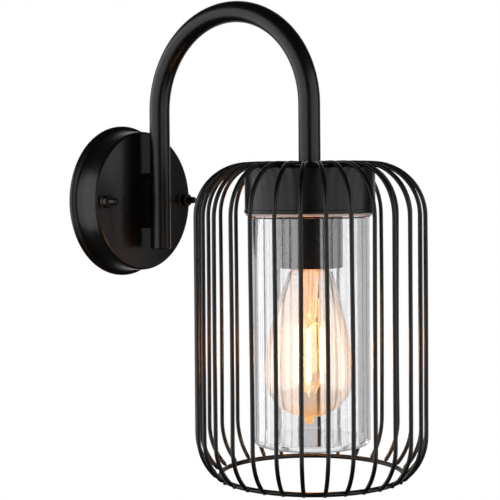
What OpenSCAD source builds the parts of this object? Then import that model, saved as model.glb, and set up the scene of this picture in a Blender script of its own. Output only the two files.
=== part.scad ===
// Cage wall light. Millimetres, +Z up.
// The origin is the centre of the canopy's back face, on the wall. The wall lies
// towards +Y, the lamp hangs out towards -Y, and the arm lies in the plane X = 0.

/* [Wall canopy] */
// Diameter of the rounded lip against the wall
canopy_lip_d = 120; // [110:1:140]
// Diameter of the flat front face
canopy_front_d = 110; // [104:1:114]
// Distance from the wall to the front face
canopy_depth = 25; // [20:1:32]
// Thickness of the lip, measured out from the wall
canopy_lip_t = 4.2; // [3.5:0.1:6]
// Sheet thickness of the canopy
canopy_wall = 1.2; // [0.8:0.1:1.6]
// Rounding of the front edge
canopy_edge_r = 2; // [1.4:0.1:3]

/* [Mounting bracket] */
// Width of the bracket's cross strap
bracket_w = 16; // [14:1:18]
// Thickness of the bracket
bracket_t = 2; // [1.5:0.1:2.5]
// Distance between the two wall screw slots
slot_spacing = 56; // [50:1:60]
// Width of a wall screw slot
slot_w = 5; // [4:0.1:5.5]
// Length of a wall screw slot, end to end
slot_l = 12; // [9:0.5:14]
// Hole for the supply cable
supply_hole_d = 12; // [10:0.5:13]
// Distance between the two studs that hold the canopy
stud_spacing = 92; // [84:1:94]
// Diameter of a stud
stud_d = 4; // [3:0.5:5]

/* [Thumb nuts] */
// Diameter of a thumb nut's collar
nut_collar_d = 10; // [9:0.5:12]
// Length of the collar
nut_collar_l = 5.5; // [4:0.5:8]
// Diameter of the domed tip
nut_tip_d = 5.8; // [5.6:0.1:8.5]
// Length of the tip, dome included
nut_tip_l = 7.5; // [6:0.5:10]
// Length of stud inside a nut
nut_engaged = 7; // [5:0.5:9]
// Thickness of the washer under a nut
washer_t = 0.8; // [0.5:0.1:1.2]

/* [Arm] */
// Diameter of the arm tube
arm_d = 16; // [14:0.5:18]
// Wall thickness of the arm tube
arm_wall = 1.2; // [1:0.1:1.5]
// Distance between the axes of the arm's two legs
arm_span = 145; // [135:1:170]
// Height of the arch's centre above the canopy's centre
arch_height = 70; // [60:1:100]
// How far the wall leg reaches below the canopy's centre
arm_drop = 38; // [34:1:50]
// Length of the spacer between canopy and arm
spacer_l = 8.5; // [6:0.5:14]
// Width of the spacer
spacer_w = 14; // [13:0.5:15]
// Height of the spacer
spacer_h = 44; // [42:1:48]
// Distance between the two screws that hold the arm
arm_screw_spacing = 28; // [27:1:30]
// Diameter of the screws that hold the arm
arm_screw_d = 4; // [3:0.5:4]
// Diameter of the sheathed cable in the arm
cable_d = 5; // [4:0.1:5.2]

/* [Cage] */
// Outer diameter of the cage
cage_d = 169; // [160:1:190]
// Overall height of the cage
cage_h = 228.6; // [220:0.2:250]
// Height of the cage's top above the canopy's centre
cage_top = 28.4; // [0:0.2:40]
// Number of bars
bar_count = 30; // [20:1:32]
// Turn of all the bars about the cage's axis, in degrees
bar_turn = 0.9; // [-6:0.1:6]
// Diameter of a bar
bar_d = 2.8; // [2.4:0.1:3.2]
// Diameter of the bottom ring's wire
ring_wire_d = 3.5; // [3:0.1:4]
// Radius of the bend that draws each bar in at the bottom
bend_r = 40; // [34:1:44]
// Angle of that bend
bend_angle = 51; // [45:1:55]
// Diameter of the hub disc at the top
hub_d = 44; // [40:1:50]

/* [Shade cap] */
// Outer diameter of the cap
cap_d = 94.4; // [90:0.2:100]
// Height of the cap
cap_h = 34.2; // [32:0.2:40]
// Sheet thickness of the cap
cap_wall = 1.2; // [1:0.1:1.5]
// How far the rolled bead at the cap's lower edge stands out
cap_bead_out = 0.4; // [0.3:0.1:1]
// Height of the rolled bead
cap_bead_h = 2.4; // [1.6:0.2:3]

/* [Glass] */
// Gap between the glass and the inside of the cap
glass_gap = 3; // [2.6:0.1:4]
// Wall thickness of the glass
glass_wall = 3; // [2:0.1:3.5]
// Thickness of the glass's closed bottom
glass_floor_t = 3.5; // [2.5:0.1:4]
// Rounding of the bottom corner
glass_corner_r = 3.5; // [3.3:0.1:8]
// Depth of the glass inside the cap
glass_engaged = 14.6; // [14:0.2:16]
// Free height between the bulb's tip and the glass's bottom
bulb_to_glass = 10; // [8.5:0.5:14]
// Thickness of the seal under the cap
gasket_t = 1.8; // [1.2:0.1:2.5]

/* [Lampholder] */
// Outer diameter of the sleeve around the lampholder
sleeve_d = 47.4; // [46:0.2:52]
// Length of the sleeve
sleeve_l = 72.4; // [68:0.2:80]
// Sheet thickness of the sleeve
sleeve_wall = 1; // [0.8:0.1:1.2]
// Outer diameter of the ceramic lampholder
holder_d = 40; // [38:0.5:42]
// Diameter of the threaded nipple that carries the lamp
nipple_d = 10; // [9:0.5:10]
// Bore of the nipple
nipple_bore_d = 8; // [7:0.1:8]

/* [Bulb] */
// Largest diameter of the bulb
bulb_d = 64; // [60:1:66]
// Length of the bulb from contact to tip
bulb_l = 140; // [134:1:146]
// Outer diameter of the screw cap
screw_cap_d = 26.2; // [26:0.1:26.4]
// Length of the screw cap, contact included
screw_cap_l = 27; // [25:0.5:28]
// Length of a filament
filament_l = 40; // [34:1:44]
// Radius of the circle that the filaments stand on
filament_circle_r = 9.4; // [7:0.1:11]
// Number of filaments
filament_count = 4; // [4:1:6]

/* [Hidden] */
$fn = 64;

// Colours
powder_black = [0.05, 0.05, 0.055];
zinc = [0.72, 0.73, 0.74];
brass_yellow = [0.78, 0.62, 0.3];
ceramic_white = [0.9, 0.89, 0.86];
clear_glass = [0.82, 0.86, 0.88, 0.35];
amber_glass = [0.95, 0.78, 0.5, 0.35];
seal_pink = [0.86, 0.76, 0.73];

// Fits
thread_fit = 0.05;
slip_fit = 0.1;
hole_fit = 0.4;
free_fit = 0.3;
face_gap = 0.1;
cut = 1;
arc_steps = 6;
screw_slot_w = 0.8;
screw_slot_t = 0.8;

// Canopy
canopy_front_r = canopy_front_d / 2;
canopy_lip_r = canopy_lip_d / 2;
canopy_lip_round = canopy_lip_t * 0.38;
canopy_neck_r = canopy_front_r + 1.6;
canopy_mid_r = canopy_front_r + 0.4;
canopy_mid_z = canopy_depth * 0.45;
canopy_inside = canopy_depth - canopy_wall;
stud_x = stud_spacing / 2;
stud_r = stud_d / 2;
stud_end = canopy_depth + washer_t + nut_engaged;
locknut_t = 3.2;
locknut_d = stud_d * 2;
washer_d = nut_collar_d - 1;
nut_chamfer = 0.6;
nut_bore_l = nut_engaged + 1;
nut_bore_cone = 1;

// Bracket tabs and terminal block
tab_w = 22;
block_w = 30;
block_h = 14;
block_t = 15;
block_y = supply_hole_d / 2 + 6 + block_h;
block_pitch = block_w * 0.3;
block_screw_y = block_h / 4;
block_wire_depth = 6;
core_r = 0.85;
core_offset = 1.15;
core_start = 14;
core_depth = bracket_t + block_wire_depth;
core_bend_r = core_start - core_depth;
core_end = block_y - block_screw_y + 1.5;
core_step = block_pitch - core_offset;
step_r = 3;
wire_bore_d = 2.4;
terminal_screw_d = 4;
terminal_screw_t = 4;
tab_top = block_y + block_h / 2;
earth_offset_y = 14;
earth_y = -(supply_hole_d / 2 + earth_offset_y);
tab_margin = 8;
tab_bottom = earth_y - tab_margin;
small_screw_d = 3;
small_head_d = 5.6;
small_head_t = 1.8;
earth_offset = 1.35;
earth_bend_r = core_depth - bracket_t - small_head_t;

// Arm
arm_r = arm_d / 2;
arm_bore_r = arm_r - arm_wall;
arm_axis = canopy_depth + spacer_l + arm_r;
lamp_axis = arm_axis + arm_span;
arch_r = arm_span / 2;
plug_head_t = 1.5;
plug_stem_l = 8;
plug_chamfer = 0.7;
leg_bottom = plug_head_t - arm_drop;
arm_screw_y = arm_screw_spacing / 2;
arm_screw_r = arm_screw_d / 2;
arm_screw_head_r = arm_screw_r * 1.9;
arm_screw_head_t = 2.2;
grommet_r = cable_d / 2 + 2;
grommet_flange_r = grommet_r + 1.5;
grommet_flange_t = 1.6;
grommet_neck = 5;
cable_r = cable_d / 2;
cable_hole_r = cable_r + 1;
cable_bend_r = 7;
nut_block_h = 10;
nut_block_face = arm_axis - cable_r - free_fit;
spacer_cradle = arm_axis - arm_r * 0.63;

// Cage
bar_r = bar_d / 2;
ring_r = ring_wire_d / 2;
bar_axis_r = cage_d / 2 - bar_r;
bar_top = cage_top - bar_r;
cap_rim_overhang = 2.1;
flat_r = cap_d / 2 - cap_rim_overhang;
shoulder_r = bar_axis_r - flat_r;
shoulder_z = bar_top - shoulder_r;
weld_lift = 0.5;
weld_gap = 0.1;
ring_z = cage_top - cage_h + ring_r;
bar_end_z = ring_z - weld_lift;
bend_z = round(1000 * (bar_end_z + bend_r * sin(bend_angle))) / 1000;
bend_centre_r = bar_axis_r - bend_r;
bar_end_r = bend_centre_r + bend_r * cos(bend_angle);
ring_centre_r = bar_end_r - ring_r - weld_gap;
hub_r = hub_d / 2;

// Stack under the hub, from the top down
nipple_r = nipple_d / 2;
nipple_bore_r = nipple_bore_d / 2;
cap_top = cage_top - bar_d;
cap_top_t = 1.5;
cap_r = cap_d / 2;
cap_bore_r = cap_r - cap_wall;
cap_bottom = cap_top - cap_h;
cap_corner_r = 3;
cap_bead_slope = 0.5;
cap_thread_in = 0.8;
sleeve_top = cap_top - cap_top_t;
sleeve_r = sleeve_d / 2;
sleeve_bore_r = sleeve_r - sleeve_wall;
sleeve_top_t = 1.2;
sleeve_bottom = sleeve_top - sleeve_l;
nipple_washer_t = 0.8;
nipple_washer_r = nipple_r + 3.5;
nipple_nut_t = 4;
nipple_nut_d = nipple_d * 1.6;
washer_top = sleeve_top - sleeve_top_t;
nut_top = washer_top - nipple_washer_t;
bush_l = 14;
nipple_in_bush = 10;
boss_top = nut_top - nipple_nut_t - 3;
boss_h = 5;
boss_r = nipple_r + 2;
bridge_t = 2;
bridge_w = 14;
bridge_bottom = boss_top - boss_h - bridge_t;
nipple_bottom = bridge_bottom + 0.5;
cable_end = nipple_bottom + 1;

// Lampholder
holder_r = holder_d / 2;
holder_screw_d = 3;
holder_screw_l = 12;
holder_head_r = holder_screw_d * 0.95;
holder_screw_x = holder_r * 0.55;
holder_top = bridge_bottom;
holder_mouth = sleeve_bottom + 2.8;
screw_cap_r = screw_cap_d / 2;
shell_bore_r = screw_cap_r + 0.3;
shell_r = shell_bore_r + 0.5;
shell_l = 24;
shell_lip = 1.5;
post_r = 4;
pocket_r = holder_r - 4;
contact_stem_r = 2;
contact_button_r = 4;
contact_button_t = 1;

// Bulb, measured down from its contact
bulb_top = sleeve_bottom + screw_cap_l - 0.7;
bulb_tip = bulb_top - bulb_l;
bulb_r = bulb_d / 2;
contact_tip_t = 1.2;
contact_tip_r = 4.8;
insulator_t = 1.5;
insulator_top_r = contact_tip_r + 0.7;
insulator_bottom_r = screw_cap_r - 1.6;
screw_cap_top = bulb_top - contact_tip_t - insulator_t;
screw_cap_bottom = bulb_top - screw_cap_l;
screw_cap_bore_r = screw_cap_r - 1.3;
screw_cap_sheet = 0.5;
screw_cap_hole_r = 2;
screw_cap_skirt_h = 3;
cap_pitch = 3.629;
cap_thread_depth = 0.7;
cap_thread_top = screw_cap_top - 2;
cap_thread_bottom = screw_cap_bottom + screw_cap_skirt_h + 1;
holder_floor_z = bulb_top + 6;
holder_floor_t = 8;

// Bulb glass
bulb_wall = 0.9;
bulb_side_steps = 14;
bulb_dome_steps = 12;
neck_r = bulb_r / 2;
neck_z = screw_cap_bottom - 3;
neck_in_cap = 10;
neck_shoulder_r = screw_cap_r - 0.4;
neck_shoulder_h = 0.8;
tip_l = 5.4;
tip_r = 4;
tip_round = 2;
dome_bottom = bulb_tip + tip_l;
dome_angle = acos(tip_r / bulb_r);
bulb_wide_z = dome_bottom + bulb_r * 0.9;

// Bulb stem and filaments
stem_in_cap = 9;
stem_out_of_cap = 38;
stem_flare_l = 14;
stem_cone_l = 24;
stem_top = screw_cap_bottom + stem_in_cap;
stem_end = screw_cap_bottom - stem_out_of_cap;
stem_flare_r = screw_cap_bore_r - bulb_wall;
stem_flare_t = 1.5;
stem_base_r = 6.4;
stem_base_z = stem_top - stem_flare_l;
stem_r = 5.6;
stem_neck_z = stem_top - stem_cone_l;
stem_tip_r = 3;
filament_top = stem_end - 5;
filament_bottom = filament_top - filament_l;
filament_r = 0.9;
filament_phase = 36;
support_r = 0.35;
support_post_r = 0.6;

// Glass
glass_r = cap_bore_r - glass_gap;
glass_top = cap_bottom + glass_engaged;
glass_bottom = bulb_tip - bulb_to_glass - glass_floor_t;
glass_thread_r = cap_bore_r - cap_thread_in - free_fit;
glass_rim_bevel = 0.8;
glass_inner_r = max(0.5, glass_corner_r - glass_wall);
glass_pitch = 4;
thread_bead_h = 1.6;
cap_threads = [for (i = [2, 1]) cap_bottom + 1 + i * glass_pitch];
glass_threads = [for (z = cap_threads) z + glass_pitch / 2];
gasket_r = cap_bore_r + 0.6;
gasket_bottom = cap_bottom - gasket_t;
shoulder_bead_r = glass_r + 1.1;
shoulder_bead_h = 1.6;

// ---------- Helpers ----------

// Points of an arc, for outlines.
function arc(cx, cy, r, from, to) =
    [for (i = [0:arc_steps]) let (a = from + (to - from) * i / arc_steps)
        [cx + r * cos(a), cy + r * sin(a)]];

// Local Z points out from the wall and local Y points up.
module out_from_wall(z = 0) rotate([90, 0, 0]) translate([0, 0, z]) children();

// Moves children to the vertical axis of the lamp.
module on_lamp_axis(z = 0) translate([0, -lamp_axis, z]) children();

// A ring or disc from its bottom height.
module disc(r, bore, z, t) translate([0, 0, z]) difference() {
    cylinder(r = r, h = t);
    if (bore > 0) translate([0, 0, -cut]) cylinder(r = bore, h = t + 2 * cut);
}

module hex_nut(across_corners, bore, z, t) translate([0, 0, z]) difference() {
    cylinder(d = across_corners, h = t, $fn = 6);
    translate([0, 0, -cut]) cylinder(r = bore, h = t + 2 * cut);
}

module pan_screw(r, l, head_r, head_t) {
    cylinder(r = r, h = l);
    translate([0, 0, -head_t]) difference() {
        cylinder(r = head_r, h = head_t);
        translate([-head_r, -screw_slot_w / 2, -cut])
            cube([2 * head_r, screw_slot_w, cut + screw_slot_t]);
    }
}

// Part of a round bar bent about the local Z axis.
module bent_bar(path_r, r, from, sweep)
    rotate([0, 0, from]) rotate_extrude(angle = sweep) translate([path_r, 0]) circle(r = r);

// ---------- Canopy and its fixings ----------

module bracket_outline() {
    square([stud_spacing, bracket_w], center = true);
    for (side = [-1, 1]) translate([side * stud_x, 0]) circle(d = bracket_w);
    translate([-tab_w / 2, tab_bottom]) square([tab_w, tab_top - tab_bottom]);
}

module slot_outline() {
    square([slot_l - slot_w, slot_w], center = true);
    for (side = [-1, 1]) translate([side * (slot_l - slot_w) / 2, 0]) circle(d = slot_w);
}

module mounting_bracket() color(zinc) out_from_wall() difference() {
    linear_extrude(bracket_t) bracket_outline();
    translate([0, 0, -cut]) linear_extrude(bracket_t + 2 * cut) {
        circle(d = supply_hole_d);
        for (side = [-1, 1]) {
            translate([side * slot_spacing / 2, 0]) slot_outline();
            translate([side * stud_x, 0]) circle(r = stud_r);
        }
        translate([block_pitch / 2, block_y]) circle(d = small_screw_d);
        translate([0, earth_y]) circle(d = small_screw_d);
    }
}

module bracket_studs() color(zinc) out_from_wall()
    for (side = [-1, 1]) translate([side * stud_x, 0, 0]) cylinder(r = stud_r, h = stud_end);

module stud_locknuts() color(zinc) out_from_wall()
    for (side = [-1, 1]) translate([side * stud_x, 0, 0])
        hex_nut(locknut_d, stud_r, bracket_t, locknut_t);

module canopy_outline() polygon(concat(
    [[canopy_neck_r - canopy_wall, 0]],
    arc(canopy_lip_r - canopy_lip_round, canopy_lip_round, canopy_lip_round, -90, 0),
    arc(canopy_lip_r - canopy_lip_round, canopy_lip_t - canopy_lip_round, canopy_lip_round, 0, 90),
    [[canopy_neck_r, canopy_lip_t], [canopy_mid_r, canopy_mid_z]],
    arc(canopy_front_r - canopy_edge_r, canopy_depth - canopy_edge_r, canopy_edge_r, 0, 90),
    [[0, canopy_depth], [0, canopy_inside], [canopy_front_r - canopy_edge_r, canopy_inside],
     [canopy_front_r - canopy_wall, canopy_depth - canopy_edge_r],
     [canopy_mid_r - canopy_wall, canopy_mid_z],
     [canopy_neck_r - canopy_wall, canopy_lip_t]]
));

module wall_canopy() color(powder_black) out_from_wall() difference() {
    rotate_extrude() canopy_outline();
    translate([0, 0, canopy_inside - cut]) linear_extrude(canopy_wall + 2 * cut) {
        circle(r = grommet_r);
        for (side = [-1, 1]) {
            translate([side * stud_x, 0]) circle(d = stud_d + 2 * hole_fit);
            translate([0, side * arm_screw_y]) circle(d = arm_screw_d + hole_fit);
        }
    }
}

module nut_washer(side) color(zinc) out_from_wall() translate([side * stud_x, 0, 0])
    disc(washer_d / 2, stud_r + slip_fit, canopy_depth, washer_t);

module nut_washer_left() nut_washer(-1);

module nut_washer_right() nut_washer(1);

module thumb_nut_outline() polygon(concat(
    [[stud_r + thread_fit, 0], [nut_collar_d / 2 - nut_chamfer, 0],
     [nut_collar_d / 2, nut_chamfer], [nut_collar_d / 2, nut_collar_l - nut_chamfer],
     [nut_collar_d / 2 - nut_chamfer, nut_collar_l], [nut_tip_d / 2, nut_collar_l]],
    arc(0, nut_collar_l + nut_tip_l - nut_tip_d / 2, nut_tip_d / 2, 0, 90),
    [[0, nut_bore_l + nut_bore_cone], [stud_r + thread_fit, nut_bore_l]]
));

module thumb_nut(side) color(powder_black)
    out_from_wall(canopy_depth + washer_t) translate([side * stud_x, 0, 0])
        rotate_extrude() thumb_nut_outline();

module thumb_nut_left() thumb_nut(-1);

module thumb_nut_right() thumb_nut(1);

// ---------- Wiring inside the canopy ----------

module terminal_block() color(ceramic_white) out_from_wall() difference() {
    translate([-block_w / 2, block_y - block_h / 2, bracket_t]) cube([block_w, block_h, block_t]);
    for (i = [-1, 0, 1]) {
        translate([i * block_pitch, block_y, bracket_t + block_wire_depth])
            rotate([90, 0, 0]) cylinder(d = wire_bore_d, h = block_h + 2 * cut, center = true);
        for (row = [-1, 1])
            translate([i * block_pitch, block_y + row * block_screw_y,
                       bracket_t + block_wire_depth])
                cylinder(d = terminal_screw_d + 2 * slip_fit, h = block_t);
    }
    translate([block_pitch / 2, block_y, bracket_t - cut])
        cylinder(d = small_screw_d, h = block_t + 2 * cut);
}

module terminal_screws() color(brass_yellow) out_from_wall()
    for (i = [-1, 0, 1]) for (row = [-1, 1])
        translate([i * block_pitch, block_y + row * block_screw_y,
                   bracket_t + block_wire_depth + core_r])
            difference() {
                cylinder(d = terminal_screw_d, h = terminal_screw_t);
                translate([-terminal_screw_d / 2, -screw_slot_w / 2,
                           terminal_screw_t - screw_slot_t])
                    cube([terminal_screw_d, screw_slot_w, screw_slot_t + cut]);
            }

module terminal_block_screw() color(zinc)
    out_from_wall(bracket_t + block_t) translate([block_pitch / 2, block_y, 0])
        mirror([0, 0, 1]) pan_screw(small_screw_d / 2, block_t + bracket_t, small_head_d / 2,
                                    small_head_t);

module earth_screw() color(brass_yellow)
    out_from_wall(bracket_t) translate([0, earth_y, 0])
        mirror([0, 0, 1]) pan_screw(small_screw_d / 2, bracket_t, small_head_d / 2, small_head_t);

// The cable's end, turned from towards the wall to up (side 1) or down (side -1).
module core_bend(side) translate([0, side * core_bend_r, core_start])
    rotate([90, 0, 90]) bent_bar(core_bend_r, core_r, side > 0 ? 180 : 270, 90);

// A core that turns up, steps aside and enters the terminal block.
module block_core() {
    core_bend(1);
    translate([-step_r, core_bend_r, core_depth]) bent_bar(step_r, core_r, 0, 90);
    translate([-core_step + step_r, core_bend_r + step_r, core_depth]) rotate([0, 90, 0])
        cylinder(r = core_r, h = core_step - 2 * step_r);
    translate([-core_step + step_r, core_bend_r + 2 * step_r, core_depth])
        bent_bar(step_r, core_r, 180, 90);
    translate([-core_step, core_bend_r + 2 * step_r, core_depth])
        rotate([-90, 0, 0]) cylinder(r = core_r, h = core_end - core_bend_r - 2 * step_r);
}

module live_wire() color([0.4, 0.22, 0.1]) out_from_wall()
    translate([-core_offset, 0, 0]) block_core();

module neutral_wire() color([0.1, 0.3, 0.7]) out_from_wall()
    mirror([1, 0, 0]) translate([-core_offset, 0, 0]) block_core();

module earth_wire() color([0.3, 0.6, 0.2]) out_from_wall() {
    translate([0, -earth_offset, 0]) core_bend(-1);
    translate([0, earth_y + earth_bend_r, core_depth]) rotate([-90, 0, 0])
        cylinder(r = core_r, h = -earth_y - earth_bend_r - earth_offset - core_bend_r);
    translate([0, earth_y + earth_bend_r, core_depth - earth_bend_r])
        rotate([90, 0, 90]) bent_bar(earth_bend_r, core_r, 90, 90);
}

// ---------- Arm ----------

module spacer_outline() {
    square([spacer_w, spacer_h - spacer_w], center = true);
    for (side = [-1, 1]) translate([0, side * (spacer_h - spacer_w) / 2]) circle(d = spacer_w);
}

module arm_spacer() color(powder_black) out_from_wall() difference() {
    translate([0, 0, canopy_depth])
        linear_extrude(spacer_cradle - canopy_depth) spacer_outline();
    translate([0, 0, arm_axis]) rotate([90, 0, 0])
        cylinder(r = arm_r, h = spacer_h + 2 * cut, center = true);
    translate([0, 0, canopy_depth - cut]) {
        cylinder(r = grommet_r, h = arm_axis);
        for (side = [-1, 1]) translate([0, side * arm_screw_y, 0])
            cylinder(d = arm_screw_d + hole_fit, h = arm_axis);
    }
}

module arm_fixing_screws() color(zinc) out_from_wall(canopy_inside)
    for (side = [-1, 1]) translate([0, side * arm_screw_y, 0])
        pan_screw(arm_screw_r, nut_block_face - canopy_inside, arm_screw_head_r,
                  arm_screw_head_t);

module arm_nut_blocks() color(zinc) out_from_wall()
    for (side = [-1, 1]) translate([0, side * arm_screw_y, 0]) difference() {
        translate([0, 0, arm_axis]) rotate([90, 0, 0])
            cylinder(r = arm_bore_r, h = nut_block_h, center = true);
        translate([-arm_r, -nut_block_h, nut_block_face]) cube([arm_d, 2 * nut_block_h, arm_d]);
        translate([0, 0, arm_axis - arm_r]) cylinder(r = arm_screw_r, h = arm_r);
    }

module cable_grommet() color([0.1, 0.1, 0.1]) out_from_wall() difference() {
    union() {
        translate([0, 0, canopy_inside - grommet_flange_t])
            cylinder(r = grommet_flange_r, h = grommet_flange_t);
        translate([0, 0, canopy_inside]) cylinder(r = grommet_r, h = grommet_neck);
    }
    translate([0, 0, canopy_inside - grommet_flange_t - cut])
        cylinder(r = cable_r + slip_fit, h = grommet_neck + grommet_flange_t + 2 * cut);
}

// A round bar along the arm's centre line: up the wall leg, over the arch and down.
module arm_run(r, wall_end, lamp_end) {
    translate([0, -arm_axis, wall_end]) cylinder(r = r, h = arch_height - wall_end);
    translate([0, -arm_axis - arch_r, arch_height])
        rotate([90, 0, 90]) bent_bar(arch_r, r, 0, 180);
    translate([0, -lamp_axis, lamp_end]) cylinder(r = r, h = arch_height - lamp_end);
}

module arm_tube() color(powder_black) difference() {
    arm_run(arm_r, leg_bottom, cage_top);
    arm_run(arm_bore_r, leg_bottom - cut, cage_top - cut);
    out_from_wall(arm_axis - arm_r - cut) {
        cylinder(r = cable_hole_r, h = arm_r);
        for (side = [-1, 1]) translate([0, side * arm_screw_y, 0])
            cylinder(d = arm_screw_d + hole_fit, h = arm_r);
    }
}

module arm_end_plug() color(powder_black) translate([0, -arm_axis, -arm_drop])
    rotate_extrude() polygon([
        [0, 0], [arm_r - plug_chamfer, 0], [arm_r, plug_chamfer], [arm_r, plug_head_t],
        [arm_bore_r, plug_head_t], [arm_bore_r, plug_head_t + plug_stem_l],
        [0, plug_head_t + plug_stem_l]
    ]);

module arm_end_bush() color(zinc) on_lamp_axis() disc(arm_bore_r, nipple_r, cage_top, bush_l);

module arm_cable() color([0.08, 0.08, 0.08]) {
    out_from_wall(core_start)
        cylinder(r = cable_r, h = arm_axis - cable_bend_r - core_start);
    translate([0, cable_bend_r - arm_axis, cable_bend_r])
        rotate([90, 0, 90]) bent_bar(cable_bend_r, cable_r, 180, 90);
    arm_run(cable_r, cable_bend_r, cable_end);
}

// ---------- Stack that clamps cage, cap and sleeve to the arm ----------

module arm_nipple() color(brass_yellow) on_lamp_axis()
    disc(nipple_r, nipple_bore_r, nipple_bottom, cage_top + nipple_in_bush - nipple_bottom);

module nipple_washer() color(zinc) on_lamp_axis()
    disc(nipple_washer_r, nipple_r, nut_top, nipple_washer_t);

module nipple_locknut() color(brass_yellow) on_lamp_axis()
    hex_nut(nipple_nut_d, nipple_r, nut_top - nipple_nut_t, nipple_nut_t);

// ---------- Cage ----------

module cage_hub() color(powder_black) on_lamp_axis() disc(hub_r, nipple_r, cap_top, bar_d);

// One bar in the local XZ plane: flat from the hub, over the shoulder, down and in.
module cage_bar() {
    difference() {
        translate([hub_r - bar_r, 0, bar_top]) rotate([0, 90, 0])
            cylinder(r = bar_r, h = flat_r - hub_r + bar_r);
        translate([0, 0, cap_top - cut]) cylinder(r = hub_r, h = bar_d + 2 * cut);
    }
    translate([flat_r, 0, shoulder_z]) rotate([90, 0, 0]) bent_bar(shoulder_r, bar_r, 0, 90);
    translate([bar_axis_r, 0, bend_z]) cylinder(r = bar_r, h = shoulder_z - bend_z);
    translate([bend_centre_r, 0, bend_z]) rotate([90, 0, 0]) mirror([0, 1, 0])
        bent_bar(bend_r, bar_r, 0, bend_angle);
}

module cage_bars() color(powder_black) on_lamp_axis()
    for (i = [0:bar_count - 1])
        rotate([0, 0, bar_turn + 360 * (i + 0.5) / bar_count]) cage_bar();

module cage_ring() color(powder_black) on_lamp_axis(ring_z)
    rotate_extrude() translate([ring_centre_r, 0]) circle(r = ring_r);

// ---------- Shade cap, glass and seal ----------

// An inward or outward bead of a rolled thread, as outline points going down.
function bead(r, out, z, h) = [[r, z + h / 2], [r + out, z + h / 5], [r + out, z - h / 5],
                               [r, z - h / 2]];

module shade_cap() color(powder_black) on_lamp_axis() rotate_extrude() polygon(concat(
    [[nipple_r, cap_top - cap_top_t], [cap_bore_r - cap_corner_r, cap_top - cap_top_t]],
    arc(cap_bore_r - cap_corner_r, cap_top - cap_top_t - cap_corner_r, cap_corner_r, 90, 0),
    [for (z = cap_threads) each bead(cap_bore_r, -cap_thread_in, z, thread_bead_h)],
    [[cap_bore_r, cap_bottom], [cap_r, cap_bottom],
     [cap_r + cap_bead_out, cap_bottom + cap_bead_slope],
     [cap_r + cap_bead_out, cap_bottom + cap_bead_h - cap_bead_slope],
     [cap_r, cap_bottom + cap_bead_h]],
    arc(cap_r - cap_corner_r, cap_top - cap_corner_r, cap_corner_r, 0, 90),
    [[nipple_r, cap_top]]
));

module glass_gasket() color(seal_pink) on_lamp_axis()
    disc(gasket_r, glass_r + thread_fit, gasket_bottom, gasket_t);

module glass_shade() color(clear_glass) on_lamp_axis() rotate_extrude() polygon(concat(
    [[0, glass_bottom + glass_floor_t]],
    arc(glass_r - glass_wall - glass_inner_r, glass_bottom + glass_floor_t + glass_inner_r,
        glass_inner_r, -90, 0),
    [[glass_r - glass_wall, glass_top - glass_rim_bevel],
     [glass_r - glass_wall + glass_rim_bevel, glass_top],
     [glass_r - glass_rim_bevel, glass_top], [glass_r, glass_top - glass_rim_bevel]],
    [for (z = glass_threads)
        each bead(glass_r, glass_thread_r - glass_r, z, thread_bead_h)],
    [[glass_r, gasket_bottom], [shoulder_bead_r, gasket_bottom],
     [shoulder_bead_r, gasket_bottom - shoulder_bead_h / 2],
     [glass_r, gasket_bottom - shoulder_bead_h]],
    arc(glass_r - glass_corner_r, glass_bottom + glass_corner_r, glass_corner_r, 0, -90),
    [[0, glass_bottom]]
));

// ---------- Lampholder ----------

module holder_sleeve() color(powder_black) on_lamp_axis() difference() {
    translate([0, 0, sleeve_bottom]) cylinder(r = sleeve_r, h = sleeve_l);
    translate([0, 0, sleeve_bottom - cut])
        cylinder(r = sleeve_bore_r, h = sleeve_l - sleeve_top_t + cut);
    translate([0, 0, sleeve_top - sleeve_top_t - cut])
        cylinder(r = nipple_r, h = sleeve_top_t + 2 * cut);
}

module holder_bridge() color(zinc) on_lamp_axis() difference() {
    union() {
        translate([0, 0, bridge_bottom]) linear_extrude(bridge_t)
            square([2 * (holder_screw_x + post_r), bridge_w], center = true);
        translate([0, 0, bridge_bottom + bridge_t]) cylinder(r = boss_r, h = boss_h);
    }
    translate([0, 0, bridge_bottom - cut])
        cylinder(r = nipple_r, h = bridge_t + boss_h + 2 * cut);
    for (side = [-1, 1]) translate([side * holder_screw_x, 0, bridge_bottom - cut])
        cylinder(d = holder_screw_d + hole_fit, h = bridge_t + 2 * cut);
}

module holder_screws() color(zinc) on_lamp_axis(bridge_bottom + bridge_t)
    for (side = [-1, 1]) translate([side * holder_screw_x, 0, 0]) mirror([0, 0, 1])
        pan_screw(holder_screw_d / 2, holder_screw_l, holder_head_r, small_head_t);

module holder_body() color(ceramic_white) on_lamp_axis() difference() {
    union() {
        difference() {
            translate([0, 0, holder_mouth])
                cylinder(r = holder_r, h = holder_top - holder_mouth);
            translate([0, 0, holder_mouth - cut])
                cylinder(r = shell_r, h = holder_floor_z - holder_mouth + cut);
            translate([0, 0, holder_floor_z + holder_floor_t])
                cylinder(r = pocket_r, h = holder_top);
        }
        for (side = [-1, 1])
            translate([side * holder_screw_x, 0, holder_floor_z + holder_floor_t / 2])
                cylinder(r = post_r, h = holder_top - holder_floor_z - holder_floor_t / 2);
    }
    translate([0, 0, holder_floor_z - cut])
        cylinder(r = contact_stem_r, h = holder_floor_t + 2 * cut);
    for (side = [-1, 1])
        translate([side * holder_screw_x, 0, holder_top + bridge_t - holder_screw_l])
            cylinder(d = holder_screw_d, h = holder_screw_l);
}

module holder_shell() color(brass_yellow) on_lamp_axis()
    disc(shell_r, shell_bore_r, holder_mouth + shell_lip, shell_l);

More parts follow.
